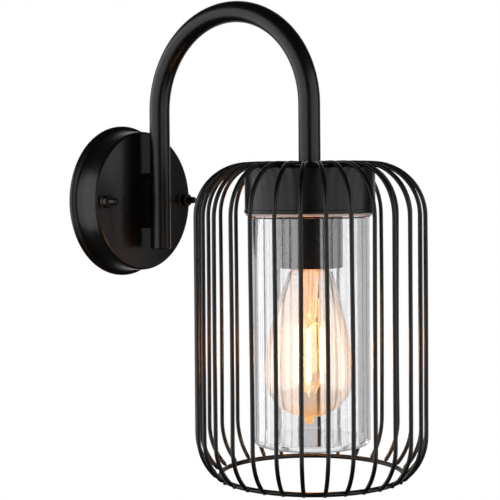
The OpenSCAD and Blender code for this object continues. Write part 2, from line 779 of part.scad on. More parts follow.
module centre_contact() color(brass_yellow) on_lamp_axis(bulb_top + face_gap) {
    cylinder(r = contact_button_r, h = contact_button_t);
    translate([0, 0, contact_button_t])
        cylinder(r = contact_stem_r,
                 h = holder_floor_z + holder_floor_t - bulb_top - face_gap);
}

// ---------- Bulb ----------

module bulb_contact_tip() color(brass_yellow) on_lamp_axis()
    disc(contact_tip_r, 0, bulb_top - contact_tip_t, contact_tip_t);

module bulb_insulator() color([0.06, 0.06, 0.07]) on_lamp_axis(screw_cap_top)
    cylinder(r1 = insulator_bottom_r, r2 = insulator_top_r, h = insulator_t);

// The rolled thread of the screw cap, as rings a quarter pitch apart, going down.
function cap_thread(top, bottom) =
    [for (i = [0:floor((top - bottom) / (cap_pitch / 4))])
        [screw_cap_r - cap_thread_depth / 2 * (1 - cos(90 * i)), top - i * cap_pitch / 4]];

module bulb_screw_cap() color(zinc) on_lamp_axis() rotate_extrude() polygon(concat(
    [[screw_cap_hole_r, screw_cap_top - screw_cap_sheet], [screw_cap_hole_r, screw_cap_top],
     [insulator_bottom_r, screw_cap_top],
     [screw_cap_r - cap_thread_depth, screw_cap_top - 2 * screw_cap_sheet]],
    cap_thread(cap_thread_top, cap_thread_bottom),
    [[screw_cap_r - cap_thread_depth, screw_cap_bottom + screw_cap_skirt_h],
     [screw_cap_r, screw_cap_bottom + screw_cap_skirt_h / 3],
     [screw_cap_r, screw_cap_bottom], [screw_cap_bore_r, screw_cap_bottom],
     [screw_cap_bore_r, screw_cap_top - screw_cap_sheet]]
));

// Outlines of the bulb from the screw cap down, each drawn in by inset.
function bulb_neck(inset) =
    [[screw_cap_bore_r - inset, screw_cap_bottom + neck_in_cap],
     [screw_cap_bore_r - inset, screw_cap_bottom],
     [neck_shoulder_r - inset, screw_cap_bottom - neck_shoulder_h]];
function bulb_side(inset) =
    [for (i = [0:bulb_side_steps])
        [neck_r + (bulb_r - neck_r) * sin(90 * i / bulb_side_steps) - inset,
         neck_z + (bulb_wide_z - neck_z) * i / bulb_side_steps]];
function bulb_dome(inset) =
    [for (i = [1:bulb_dome_steps]) let (a = dome_angle * i / bulb_dome_steps)
        [(bulb_r - inset) * cos(a), bulb_wide_z - (bulb_wide_z - dome_bottom - inset) * sin(a)]];
function reversed(list) = [for (i = [len(list) - 1:-1:0]) list[i]];

module bulb_glass() color(amber_glass) on_lamp_axis() rotate_extrude() polygon(concat(
    bulb_neck(0), bulb_side(0), bulb_dome(0),
    arc(tip_r - tip_round, bulb_tip + tip_round, tip_round, 0, -90), [[0, bulb_tip]],
    reversed(concat(bulb_neck(bulb_wall), bulb_side(bulb_wall), bulb_dome(bulb_wall),
                    [[0, dome_bottom + bulb_wall]]))
));

module bulb_stem() color(clear_glass) on_lamp_axis() rotate_extrude() polygon([
    [0, stem_top], [stem_flare_r, stem_top], [stem_flare_r, stem_top - stem_flare_t],
    [stem_base_r, stem_base_z], [stem_r, stem_neck_z], [stem_r, stem_end + stem_tip_r],
    [stem_tip_r, stem_end], [0, stem_end]
]);

// Places children at each filament's turn about the bulb's axis.
module at_filaments() for (i = [0:filament_count - 1])
    rotate([0, 0, filament_phase + 360 * i / filament_count]) children();

module bulb_supports() color(zinc) on_lamp_axis() {
    translate([0, 0, filament_bottom - support_r])
        cylinder(r = support_post_r, h = stem_end - filament_bottom + support_r);
    for (z = [filament_top, filament_bottom]) at_filaments()
        translate([0, 0, z]) rotate([0, 90, 0]) cylinder(r = support_r, h = filament_circle_r);
}

module bulb_filaments() color([1, 0.75, 0.3]) on_lamp_axis(filament_bottom) at_filaments()
    translate([filament_circle_r, 0, 0]) cylinder(r = filament_r, h = filament_l);

mounting_bracket();
bracket_studs();
stud_locknuts();
wall_canopy();
nut_washer_left();
nut_washer_right();
thumb_nut_left();
thumb_nut_right();
terminal_block();
terminal_screws();
terminal_block_screw();
earth_screw();
arm_spacer();
arm_fixing_screws();
arm_nut_blocks();
cable_grommet();
arm_tube();
arm_end_plug();
arm_end_bush();
arm_cable();
live_wire();
neutral_wire();
earth_wire();
arm_nipple();
nipple_washer();
nipple_locknut();
cage_hub();
cage_bars();
cage_ring();
shade_cap();
glass_gasket();
glass_shade();
holder_sleeve();
holder_bridge();
holder_screws();
holder_body();
holder_shell();
centre_contact();
bulb_contact_tip();
bulb_insulator();
bulb_screw_cap();
bulb_glass();
bulb_stem();
bulb_supports();
bulb_filaments();
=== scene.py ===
"""Cage wall light: dresses the solid model with finished surfaces, finishes and a studio.

Everything is in metres. The wall lies towards +Y, the lamp hangs out towards -Y, and +Z is up.
"""

import bmesh
import bpy
import numpy as np
from bpy.props import FloatProperty, FloatVectorProperty, IntProperty, PointerProperty
from mathutils import Matrix, Vector


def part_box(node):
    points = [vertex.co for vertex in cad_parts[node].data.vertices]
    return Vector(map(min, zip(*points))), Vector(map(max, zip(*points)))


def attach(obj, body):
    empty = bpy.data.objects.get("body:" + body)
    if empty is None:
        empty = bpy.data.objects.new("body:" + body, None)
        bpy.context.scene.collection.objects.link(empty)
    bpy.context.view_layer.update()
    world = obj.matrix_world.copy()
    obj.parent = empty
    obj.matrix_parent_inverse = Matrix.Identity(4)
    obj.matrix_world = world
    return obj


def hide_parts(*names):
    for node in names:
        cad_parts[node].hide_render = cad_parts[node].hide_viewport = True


bl_info = {
    "name": "Cage Wall Light",
    "version": (1, 0, 0),
    "blender": (4, 5, 0),
    "location": "View3D > Sidebar > Wall Light",
    "description": "Builds the surfaces, finishes and studio of a cage wall light",
    "category": "Add Mesh",
}

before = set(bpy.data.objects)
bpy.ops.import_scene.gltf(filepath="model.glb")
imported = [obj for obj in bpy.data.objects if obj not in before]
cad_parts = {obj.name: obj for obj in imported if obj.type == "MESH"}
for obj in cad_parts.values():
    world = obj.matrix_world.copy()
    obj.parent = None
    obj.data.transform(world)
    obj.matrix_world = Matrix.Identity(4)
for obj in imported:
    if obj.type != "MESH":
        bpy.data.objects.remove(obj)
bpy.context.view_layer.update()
MM = 0.001


def span(node, axis):
    """Lowest and highest value of a solid along an axis, 0 to 2."""
    low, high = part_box(node)
    return low[axis], high[axis]


def width(node, axis=0):
    """Size of a solid along an axis."""
    low, high = span(node, axis)
    return high - low


# Heights and distances that the pieces share, read from the solids.
LAMP_Y = sum(span("cage_ring", 1)) / 2
LAMP_AXIS = (0.0, LAMP_Y)
ARM_Y = sum(span("arm_end_plug", 1)) / 2
CANOPY_DEPTH = -span("wall_canopy", 1)[0]
HUB_BOTTOM, HUB_TOP = span("cage_hub", 2)
ARM_BOTTOM, ARCH_TOP = span("arm_tube", 2)
RING_LOW, RING_HIGH = span("cage_ring", 2)
CAP_BOTTOM, CAP_TOP = span("shade_cap", 2)
SEAL_BOTTOM, SEAL_TOP = span("glass_gasket", 2)
GLASS_BOTTOM, GLASS_TOP = span("glass_shade", 2)
SLEEVE_BOTTOM, SLEEVE_TOP = span("holder_sleeve", 2)
SHELL_BOTTOM, SHELL_TOP = span("holder_shell", 2)
BULB_TIP = span("bulb_glass", 2)[0]
SCREW_BOTTOM, SCREW_TOP = span("bulb_screw_cap", 2)
STEM_BOTTOM, STEM_TOP = span("bulb_stem", 2)
FILAMENT_LOW, FILAMENT_HIGH = span("bulb_filaments", 2)
# Turn of the first filament about the lamp's axis, in degrees from +X.
FIRST_FILAMENT = 36.0
# Height of the drawn-off nib at the bulb's tip, in millimetres.
NIB = 5.4


# ---------- Sizes and colours that a user would change ----------

def length(name, description, default):
    """A length property in metres."""
    return FloatProperty(name=name, description=description, default=default, min=0.0,
                         unit="LENGTH", precision=5)


def colour(name, description, default):
    """A colour property, in linear light."""
    return FloatVectorProperty(name=name, description=description, default=default, size=3,
                               min=0.0, max=1.0, subtype="COLOR")


class WallLightSizes(bpy.types.PropertyGroup):
    """Sizes of the visible pieces."""
    canopy_lip: length("Canopy lip", "Diameter of the rounded lip against the wall",
                       width("wall_canopy"))
    canopy_edge: length("Canopy edge", "Rounding of the canopy's front edge", 2.2 * MM)
    tube_wall: length("Tube wall", "Wall thickness of the arm tube", 1.2 * MM)
    bar_count: IntProperty(name="Bars", description="Number of bars round the cage",
                           default=30, min=6, max=60)
    bar_diameter: length("Bar diameter", "Thickness of a cage bar",
                         width("cage_hub", 2) + 0.2 * MM)
    bar_turn: FloatProperty(name="Bar turn", default=float(np.radians(0.9)), subtype="ANGLE",
                            description="Turn of all the bars about the lamp's axis")
    bar_waver: length("Bar waver", "How far a bar may stand out of line", 0.45 * MM)
    ring_wire: length("Ring wire", "Thickness of the bottom ring's wire", width("cage_ring", 2))
    glass_wall: length("Glass wall", "Wall thickness of the glass", 3 * MM)
    glass_floor: length("Glass floor", "Thickness of the glass's closed bottom", 3.5 * MM)
    glass_pitch: length("Glass thread pitch", "Rise of the glass's thread in one turn", 4 * MM)
    bulb_wall: length("Bulb wall", "Wall thickness of the bulb", 0.9 * MM)
    bulb_shift: length("Bulb shift", "How far the bulb's lower part hangs off the axis", 1.6 * MM)
    bulb_pitch: length("Bulb thread pitch", "Rise of the screw cap's thread in one turn",
                       3.629 * MM)
    filament_diameter: length("Filament diameter", "Thickness of a filament rod", 2.2 * MM)


class WallLightColours(bpy.types.PropertyGroup):
    """Colours of the finishes."""
    powder: colour("Powder coat", "Satin black of the metalwork", (0.0022, 0.0021, 0.0022))
    seal: colour("Seal", "Soft seal between cap and glass", (0.66, 0.555, 0.53))
    glass: colour("Glass", "Tint of the clear glass", (0.745, 0.745, 0.755))
    amber: colour("Amber glass", "Tint of the bulb", (1.0, 0.94, 0.88))
    glow: colour("Glow", "Light of the filaments", (1.0, 0.66, 0.25))


class WallLightStudio(bpy.types.PropertyGroup):
    """Lamps and camera of the studio."""
    panel_power: FloatProperty(name="Panel power", default=13.0, min=0.0, unit="POWER",
                               description="Power of one square metre of a soft panel")
    fill_share: FloatProperty(name="Fill share", default=0.3, min=0.0, max=1.0, subtype="FACTOR",
                              description="Share of the panels' power that falls on everything")
    glow_power: FloatProperty(name="Glow power", description="Power of the bulb's own light",
                              default=4.0, min=0.0, unit="POWER")
    glow_strength: FloatProperty(name="Filament strength", default=14.0, min=0.0,
                                 description="How brightly the filaments shine")
    lens: FloatProperty(name="Lens", description="Focal length of the camera in millimetres",
                        default=96.4, min=10.0, unit="CAMERA")


def sizes():
    """The sizes in use."""
    return bpy.context.scene.wall_light_sizes


def colours():
    """The colours in use."""
    return bpy.context.scene.wall_light_colours


# ---------- Shapes ----------

def unit(vectors):
    """Each vector made one long."""
    return vectors / np.maximum(np.linalg.norm(vectors, axis=-1, keepdims=True), 1e-12)


def rounded(corners, radii, steps=7):
    """Outline through corners, given in millimetres, each rounded to its radius.

    A corner's arc has its centre on the bisector, at radius / sin(half the corner's angle), and
    its points are the two end spokes blended at equal angles: with s from 0 to 1 and the arc's
    whole turn, (sin((1 - s) * turn) * first + sin(s * turn) * last) / sin(turn). A radius of 0
    leaves the corner sharp. Returns points in metres.
    """
    p = np.array(corners, float) * MM
    r = np.array(radii, float)[:, None] * MM
    before, after = unit(np.roll(p, 1, 0) - p), unit(np.roll(p, -1, 0) - p)
    half = np.arccos(np.clip((before * after).sum(1, keepdims=True), -1, 1)) / 2
    centre = p + unit(before + after) * r / np.maximum(np.sin(half), 1e-9)
    reach = r / np.maximum(np.tan(half), 1e-9)
    start, end = p + before * reach - centre, p + after * reach - centre
    turn = np.maximum(np.pi - 2 * half, 1e-6)[:, None, :]
    s = np.linspace(0, 1, steps)[None, :, None]
    spokes = np.sin((1 - s) * turn) * start[:, None] + np.sin(s * turn) * end[:, None]
    return (centre[:, None] + spokes / np.sin(turn)).reshape(-1, 2)


def grid_faces(rows, columns, close_rows=False, close_columns=True):
    """Four-sided faces of a grid of points, joined end to end where it closes."""
    index = np.arange(rows * columns).reshape(rows, columns)
    if close_rows:
        index = np.vstack([index, index[:1]])
    if close_columns:
        index = np.hstack([index, index[:, :1]])
    return np.stack([index[:-1, :-1], index[:-1, 1:], index[1:, 1:], index[1:, :-1]],
                    -1).reshape(-1, 4)


def turned(profile, steps=96, closed=False, upright=True, centre=(0.0, 0.0), relief=None):
    """A profile of (radius, height) turned about an axis.

    Point (i, j) lies at radius r_i, angle a_j and height h_i. With relief, a function of radius,
    height and angle, it moves out by the relief. An upright axis runs along +Z through centre
    (x, y), and another one along -Y, out from the wall, through centre (x, z).
    """
    angle = np.arange(steps) / steps * 2 * np.pi
    r = np.repeat(profile[:, :1], steps, 1)
    h = np.repeat(profile[:, 1:], steps, 1)
    a = np.broadcast_to(angle, r.shape)
    if relief is not None:
        r = r + relief(r, h, a)
    x, y = centre[0] + r * np.cos(a), centre[1] + r * np.sin(a)
    points = np.stack([x, y, h] if upright else [x, -h, y], -1)
    return points.reshape(-1, 3), grid_faces(len(profile), steps, closed)


def swept(path, across, radius, sides=16):
    """A round section carried along a path in one plane.

    At each path point the section is radius * (cos a * side + sin a * across), where side is
    the path's direction turned a quarter round the fixed vector across. Where the radius is 0
    the end is closed.
    """
    along = np.gradient(path, axis=0)
    along[0], along[-1] = path[2] - path[0], path[-1] - path[-3]
    across = np.broadcast_to(across, path.shape)
    side = np.cross(unit(along), across)
    a = (np.arange(sides) / sides * 2 * np.pi)[None, :, None]
    r = np.broadcast_to(radius, len(path))[:, None, None]
    points = path[:, None] + r * (np.cos(a) * side[:, None] + np.sin(a) * across[:, None])
    return points.reshape(-1, 3), grid_faces(len(path), sides)


def arc(centre, radius, start, end, steps):
    """Points of an arc in a plane: centre + radius * (cos a, sin a), with a in even steps from
    start to end, in degrees."""
    a = np.radians(np.linspace(start, end, steps))
    return np.stack([centre[0] + radius * np.cos(a), centre[1] + radius * np.sin(a)], 1)


def even(path, step):
    """The same path in even steps: each point is where the length run so far is a multiple."""
    path = path[np.append(True, np.linalg.norm(np.diff(path, axis=0), axis=1) > 1e-9)]
    run = np.append(0, np.cumsum(np.linalg.norm(np.diff(path, axis=0), axis=1)))
    at = np.linspace(0, run[-1], max(3, int(round(run[-1] / step)) + 1))
    return np.stack([np.interp(at, run, path[:, k]) for k in range(path.shape[1])], 1)


def spun(part, angles, centre=(0.0, 0.0)):
    """Copies of a part, each turned by an angle about the upright axis through centre.

    A point (x, y) from the axis goes to (x cos a - y sin a, x sin a + y cos a), and its height
    stays.
    """
    points, faces = part
    cos, sin = np.cos(angles)[:, None], np.sin(angles)[:, None]
    x, y = points[:, 0] - centre[0], points[:, 1] - centre[1]
    z = np.broadcast_to(points[:, 2], (len(angles), len(points)))
    copies = np.stack([centre[0] + x * cos - y * sin, centre[1] + x * sin + y * cos, z], -1)
    shift = (np.arange(len(angles)) * len(points))[:, None, None]
    return copies.reshape(-1, 3), (faces[None] + shift).reshape(-1, 4)


def joined(parts):
    """Several parts as one list of points and one of faces."""
    counts = np.cumsum([0] + [len(points) for points, _ in parts[:-1]])
    return (np.vstack([points for points, _ in parts]),
            np.vstack([faces + start for (_, faces), start in zip(parts, counts)]))


def thread(depth, pitch, low, high, share=0.5, phase=0.0):
    """Relief of a right-hand thread between two heights.

    It is depth * (1 + cos(turns)) / 2 raised to a power that sets the ridge's share of the
    pitch, where turns counts (height / pitch - angle), and it fades out over a quarter of the
    pitch at both ends.
    """
    def relief(r, h, a):
        turns = 2 * np.pi * ((h - low) / pitch + phase) - a
        wave = ((1 + np.cos(turns)) / 2) ** (0.5 / share)
        run_out = 0.25 * pitch
        fade = np.clip((h - low) / run_out, 0, 1) * np.clip((high - h) / run_out, 0, 1)
        return depth * wave * fade
    return relief


def only_at(radius, ridge, above=-np.inf):
    """Keeps a relief to the points at one radius, above a height."""
    def relief(r, h, a):
        there = (np.abs(r - radius) < 0.01 * MM) & (h > above)
        return np.where(there, ridge(r, h, a), 0.0)
    return relief


def make(name, body, slot, parts, nodes=(), sharp=40.0):
    """Makes one piece of the light from its parts, and parents it to its body's empty.

    Points closer than 0.002 mm are merged, which closes seams and poles, and edges sharper than
    sharp degrees stay crisp.
    """
    points, faces = joined(parts)
    mesh = bpy.data.meshes.new(name)
    mesh.from_pydata(points.tolist(), [], faces.tolist())
    shape = bmesh.new()
    shape.from_mesh(mesh)
    bmesh.ops.remove_doubles(shape, verts=shape.verts, dist=0.002 * MM)
    bmesh.ops.dissolve_degenerate(shape, edges=shape.edges, dist=0.0001 * MM)
    bmesh.ops.recalc_face_normals(shape, faces=shape.faces)
    shape.to_mesh(mesh)
    shape.free()
    mesh.shade_smooth()
    mesh.set_sharp_from_angle(angle=np.radians(sharp))
    piece = bpy.data.objects.new(name, mesh)
    bpy.context.scene.collection.objects.link(piece)
    mesh.materials.append(finish(slot))
    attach(piece, body)
    if nodes:
        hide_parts(*nodes)
    return piece


# ---------- Finishes ----------

def blank(name):
    """A new material with one Principled shader, and its node tree."""
    material = bpy.data.materials.new(name)
    material.use_nodes = True
    tree = material.node_tree
    return material, tree, tree.nodes["Principled BSDF"]


def place(tree):
    """The point in the piece's own space."""
    node = tree.nodes.get("Place")
    if node is None:
        node = tree.nodes.new("ShaderNodeTexCoord")
        node.name = "Place"
    return node.outputs["Object"]


def place_parts(tree):
    """The point's three coordinates, by their names X, Y and Z."""
    node = tree.nodes.new("ShaderNodeSeparateXYZ")
    tree.links.new(place(tree), node.inputs[0])
    return node.outputs


def noise(tree, scale, detail=2.0, stretch=None):
    """Cloudy pattern with so many cells to the metre, drawn out where stretch is below 1."""
    node = tree.nodes.new("ShaderNodeTexNoise")
    node.inputs["Scale"].default_value = scale
    node.inputs["Detail"].default_value = detail
    source = place(tree)
    if stretch is not None:
        mapping = tree.nodes.new("ShaderNodeMapping")
        mapping.inputs["Scale"].default_value = stretch
        tree.links.new(source, mapping.inputs["Vector"])
        source = mapping.outputs["Vector"]
    tree.links.new(source, node.inputs["Vector"])
    return node.outputs["Fac"]


def cells(tree, scale):
    """Pattern of rounded cells, so many to the metre."""
    node = tree.nodes.new("ShaderNodeTexVoronoi")
    node.inputs["Scale"].default_value = scale
    tree.links.new(place(tree), node.inputs["Vector"])
    return node.outputs["Distance"]


def ranged(tree, source, low, high, start=0.3, end=0.7):
    """Maps a pattern's values from start..end to low..high, and holds them past both ends."""
    node = tree.nodes.new("ShaderNodeMapRange")
    tree.links.new(source, node.inputs["Value"])
    for key, value in zip(("From Min", "From Max", "To Min", "To Max"), (start, end, low, high)):
        node.inputs[key].default_value = value
    return node.outputs["Result"]


def blended(tree, source, first, second):
    """Colour that runs from first to second with a pattern's value."""
    node = tree.nodes.new("ShaderNodeMix")
    node.data_type = "RGBA"
    tree.links.new(source, node.inputs["Factor"])
    node.inputs["A"].default_value = (*first, 1.0)
    node.inputs["B"].default_value = (*second, 1.0)
    return node.outputs["Result"]


def bumped(tree, source, depth, before=None):
    """Normal of a surface whose height follows a pattern, with its depth in metres."""
    node = tree.nodes.new("ShaderNodeBump")
    node.inputs["Strength"].default_value = 1.0
    node.inputs["Distance"].default_value = depth
    tree.links.new(source, node.inputs["Height"])
    if before is not None:
        tree.links.new(before, node.inputs["Normal"])
    return node.outputs["Normal"]


def math(tree, operation, first, second):
    """One sum on two values, each a number or another node's output."""
    node = tree.nodes.new("ShaderNodeMath")
    node.operation = operation
    for socket, value in zip(node.inputs, (first, second)):
        if isinstance(value, float):
            socket.default_value = value
        else:
            tree.links.new(value, socket)
    return node.outputs[0]


def shade(rgb, factor):
    """A colour made lighter or darker."""
    return tuple(min(1.0, channel * factor) for channel in rgb)


def set_sockets(shader, **values):
    """Sets the shader's own sockets. A name's underscores stand for spaces."""
    for key, value in values.items():
        socket = shader.inputs[key.replace("_", " ")]
        socket.default_value = (*value, 1.0) if isinstance(value, tuple) else value


def textured(name, rgb, roughness, grain, grain_depth, metallic=0.0, patch=35.0, spread=0.25,
             stretch=None):
    """A finish with cloudy colour and roughness, and a fine surface grain.

    Roughness is its lowest and highest value. Grain and patch are so many cells to the metre,
    and spread is how far the colour goes lighter and darker.
    """
    material, tree, shader = blank(name)
    cloud = noise(tree, patch, 3.0)
    colour_out = blended(tree, ranged(tree, cloud, 0.0, 1.0), shade(rgb, 1 - spread),
                         shade(rgb, 1 + spread))
    tree.links.new(colour_out, shader.inputs["Base Color"])
    rough = ranged(tree, noise(tree, patch * 2.3, 4.0), *roughness)
    tree.links.new(rough, shader.inputs["Roughness"])
    normal = bumped(tree, noise(tree, grain, 3.0, stretch), grain_depth)
    tree.links.new(normal, shader.inputs["Normal"])
    set_sockets(shader, Metallic=metallic)
    return material


def powder_coat():
    """Satin black powder coat: a low orange-peel grain, with slightly shinier patches."""
    material, tree, shader = blank("Satin black powder coat")
    rgb = tuple(colours().powder)
    cloud = ranged(tree, noise(tree, 60.0, 3.0), 0.0, 1.0)
    tree.links.new(blended(tree, cloud, shade(rgb, 0.8), shade(rgb, 1.25)),
                   shader.inputs["Base Color"])
    tree.links.new(ranged(tree, noise(tree, 140.0, 4.0), 0.27, 0.34),
                   shader.inputs["Roughness"])
    peel = bumped(tree, noise(tree, 900.0, 2.0), 0.02 * MM)
    grain = bumped(tree, noise(tree, 4200.0, 1.0), 0.004 * MM, peel)
    tree.links.new(grain, shader.inputs["Normal"])
    set_sockets(shader, Specular_IOR_Level=0.14)
    return material


def zinc_steel():
    """Bright zinc plating: pale metal with a cloudy blue-grey and fine scratches."""
    return textured("Zinc plated steel", (0.62, 0.64, 0.67), (0.26, 0.42), 700.0, 0.012 * MM,
                    metallic=1.0, patch=90.0, spread=0.12)


def brass():
    """Drawn brass, a little dulled."""
    return textured("Dulled brass", (0.72, 0.51, 0.24), (0.2, 0.36), 900.0, 0.01 * MM,
                    metallic=1.0, patch=70.0, spread=0.12)


def nickel():
    """Nickel plate of the bulb's screw cap, with rolling marks."""
    return textured("Nickel plate", (0.66, 0.64, 0.6), (0.16, 0.3), 500.0, 0.012 * MM,
                    metallic=1.0, patch=120.0, spread=0.08, stretch=(1.0, 1.0, 0.15))


def ceramic():
    """White glazed ceramic with faint specks."""
    material, tree, shader = blank("White glazed ceramic")
    speck = ranged(tree, cells(tree, 420.0), 0.0, 1.0, 0.02, 0.12)
    tree.links.new(blended(tree, speck, (0.55, 0.52, 0.47), (0.8, 0.78, 0.74)),
                   shader.inputs["Base Color"])
    tree.links.new(ranged(tree, noise(tree, 80.0), 0.12, 0.26), shader.inputs["Roughness"])
    tree.links.new(bumped(tree, noise(tree, 220.0, 2.0), 0.06 * MM), shader.inputs["Normal"])
    set_sockets(shader, Coat_Weight=0.3, Coat_Roughness=0.08)
    return material


def nylon():
    """Milky moulded nylon of the terminal block."""
    material = textured("Milky nylon", (0.72, 0.71, 0.66), (0.32, 0.46), 1500.0, 0.01 * MM,
                        spread=0.05)
    set_sockets(material.node_tree.nodes["Principled BSDF"], Subsurface_Weight=0.2,
                Subsurface_Scale=2 * MM)
    return material


def sheath(name, rgb):
    """Soft plastic of a cable or core, in its own colour."""
    return lambda: textured(name, rgb, (0.34, 0.48), 1200.0, 0.012 * MM, spread=0.1)


def rubber():
    """Black rubber with a fine bloom."""
    return textured("Black rubber", (0.02, 0.02, 0.021), (0.55, 0.72), 1600.0, 0.02 * MM,
                    spread=0.3)


def seal():
    """Pale silicone, slightly see-through."""
    material = textured("Pale silicone seal", tuple(colours().seal), (0.35, 0.5), 1100.0,
                        0.02 * MM, spread=0.08)
    set_sockets(material.node_tree.nodes["Principled BSDF"], Subsurface_Weight=0.3,
                Subsurface_Scale=3 * MM)
    return material


def see_through(name, tint, roughness, ior, wave, wave_depth):
    """Glass with a slow waviness. Its shadow rays pass straight through, with its tint.

    Roughness is its lowest and highest value, or one number where it is the same all over. Wave
    is so many cells to the metre.
    """
    material, tree, shader = blank(name)
    set_sockets(shader, Base_Color=tint, IOR=ior, Transmission_Weight=1.0)
    if isinstance(roughness, tuple):
        rough = ranged(tree, noise(tree, 150.0, 3.0), *roughness)
        tree.links.new(rough, shader.inputs["Roughness"])
    else:
        set_sockets(shader, Roughness=roughness)
    tree.links.new(bumped(tree, noise(tree, wave, 1.0), wave_depth), shader.inputs["Normal"])
    clear = tree.nodes.new("ShaderNodeBsdfTransparent")
    clear.inputs["Color"].default_value = (*shade(tint, 0.92), 1.0)
    path = tree.nodes.new("ShaderNodeLightPath")
    either = tree.nodes.new("ShaderNodeMixShader")
    tree.links.new(path.outputs["Is Shadow Ray"], either.inputs[0])
    tree.links.new(shader.outputs[0], either.inputs[1])
    tree.links.new(clear.outputs[0], either.inputs[2])
    tree.links.new(either.outputs[0], tree.nodes["Material Output"].inputs["Surface"])
    return material


def clear_glass():
    """Clear pressed glass. Its thick bottom edge has a painted glow, light of its own in the
    finish.

    The painted glow comes in between two distances from the lamp's axis, and fades upwards to
    nothing.
    """
    faint, full = 37 * MM, 41 * MM
    material = see_through("Clear glass", tuple(colours().glass), 0.0, 1.5, 9.0, 0.02 * MM)
    tree = material.node_tree
    point = place_parts(tree)
    across = math(tree, "POWER", point["X"], 2.0)
    along = math(tree, "POWER", math(tree, "SUBTRACT", point["Y"], LAMP_Y), 2.0)
    # Painted glow: a ring towards the glass's outer wall, where the bottom edge gets light of its
    # own.
    outer = ranged(tree, math(tree, "ADD", across, along), 0.0, 1.0, faint ** 2, full ** 2)
    edge = ranged(tree, point["Z"], 0.2, 0.0, GLASS_BOTTOM + 1 * MM, GLASS_BOTTOM + 4 * MM)
    shader = tree.nodes["Principled BSDF"]
    # Painted glow: emission on the thick bottom edge, though the glass is no lamp.
    tree.links.new(math(tree, "MULTIPLY", outer, edge), shader.inputs["Emission Strength"])
    set_sockets(shader, Emission_Color=(0.86, 0.84, 0.86))
    return material


def amber_glass():
    """Thin amber glass of the bulb, its colour deeper at its tip, where the glass is thicker. It
    has a painted glow: faint light of its own round the filaments, and more at its tip."""
    tint, deep = tuple(colours().amber), (1.0, 0.68, 0.32)
    material = see_through("Amber glass", tint, (0.0, 0.02), 1.45, 30.0, 0.04 * MM)
    tree = material.node_tree
    height = place_parts(tree)["Z"]
    middle = (FILAMENT_LOW + FILAMENT_HIGH) / 2
    far = math(tree, "ABSOLUTE", math(tree, "SUBTRACT", height, middle), 0.0)
    # Painted glow round the filaments, fading away from their middle height.
    painted_glow_near = ranged(tree, far, 0.1, 0.0, 12 * MM, 55 * MM)
    tip = ranged(tree, height, 1.0, 0.0, BULB_TIP + 3 * MM, BULB_TIP + 14 * MM)
    shader = tree.nodes["Principled BSDF"]
    tree.links.new(blended(tree, tip, tint, deep), shader.inputs["Base Color"])
    # Painted glow: emission round the filaments and at the tip, though the bulb's glass is no
    # lamp.
    tree.links.new(math(tree, "ADD", painted_glow_near, math(tree, "MULTIPLY", tip, 0.3)),
                   shader.inputs["Emission Strength"])
    set_sockets(shader, Emission_Color=(1.0, 0.5, 0.16))
    return material


def stem_glass():
    """Drawn glass of the bulb's stem, with a painted warm glow that stands for the light it
    carries up.
    """
    material = see_through("Stem glass", (1.0, 0.93, 0.84), (0.1, 0.3), 1.3, 120.0, 0.1 * MM)
    # Painted glow: warm emission on the stem, though it is no lamp.
    set_sockets(material.node_tree.nodes["Principled BSDF"],
                Emission_Color=(1.0, 0.55, 0.25), Emission_Strength=0.3)
    return material


def black_glass():
    """Black glass between the screw cap and its contact."""
    return textured("Black glass", (0.01, 0.01, 0.012), (0.05, 0.12), 400.0, 0.02 * MM,
                    spread=0.2)


def support_wire():
    """Thin drawn wire, straw-coloured from heat."""
    return textured("Support wire", (0.7, 0.6, 0.42), (0.2, 0.35), 3000.0, 0.005 * MM,
                    metallic=1.0, patch=300.0, spread=0.12)


def filament():
    """Glowing filament rod under a beaded phosphor."""
    material, tree, shader = blank("Glowing filament")
    beads = cells(tree, 900.0)
    tree.links.new(blended(tree, ranged(tree, beads, 0.0, 1.0, 0.1, 0.5), (0.9, 0.62, 0.2),
                           (0.8, 0.5, 0.14)), shader.inputs["Base Color"])
    tree.links.new(bumped(tree, beads, 0.1 * MM), shader.inputs["Normal"])
    set_sockets(shader, Roughness=0.6, Emission_Color=tuple(colours().glow),
                Emission_Strength=bpy.context.scene.wall_light_studio.glow_strength)
    return material


# The finish of each material slot, and those made so far.
FINISHES = {
    "powder_coat": powder_coat, "zinc_steel": zinc_steel, "brass": brass, "nickel": nickel,
    "ceramic": ceramic, "nylon": nylon, "rubber": rubber, "seal": seal,
    "cable_sheath": sheath("Black cable sheath", (0.02, 0.02, 0.022)),
    "core_brown": sheath("Brown core", (0.11, 0.035, 0.012)),
    "core_blue": sheath("Blue core", (0.02, 0.11, 0.42)),
    "core_green": sheath("Green core", (0.03, 0.3, 0.06)),
    "clear_glass": clear_glass, "amber_glass": amber_glass, "stem_glass": stem_glass,
    "black_glass": black_glass, "support_wire": support_wire, "filament": filament,
}
MADE = {}


def finish(slot):
    """The finish of a slot, made when it is first asked for."""
    if slot not in MADE:
        MADE[slot] = FINISHES[slot]()
    return MADE[slot]


# ---------- Pieces ----------

def build_canopy():
    """Pressed canopy cup: its outline turned about the axis that stands out from the wall.

    The outline runs out over the front, down the side to the lip against the wall, and back
    inside by the sheet's thickness.
    """
    s = sizes()
    lip, depth, edge = s.canopy_lip / 2 / MM, CANOPY_DEPTH / MM, s.canopy_edge / MM
    front, side, sheet = 55.0, 55.4, 1.2
    halfway = depth * 0.45
    outline = [(0.0, depth), (front, depth), (side, halfway), (side + 1.1, 5.4), (lip, 3.4),
               (lip, 0.0), (side, 0.0), (side, 4.2), (side - sheet, halfway),
               (front - sheet, depth - sheet), (0.0, depth - sheet)]
    radii = [0, edge, 25, 3.0, 1.3, 1.6, 0.2, 1.0, 20, edge - sheet, 0]
    make("canopy_cup", "fixture", "powder_coat",
         [turned(rounded(outline, radii), 160, upright=False)], ["wall_canopy"])


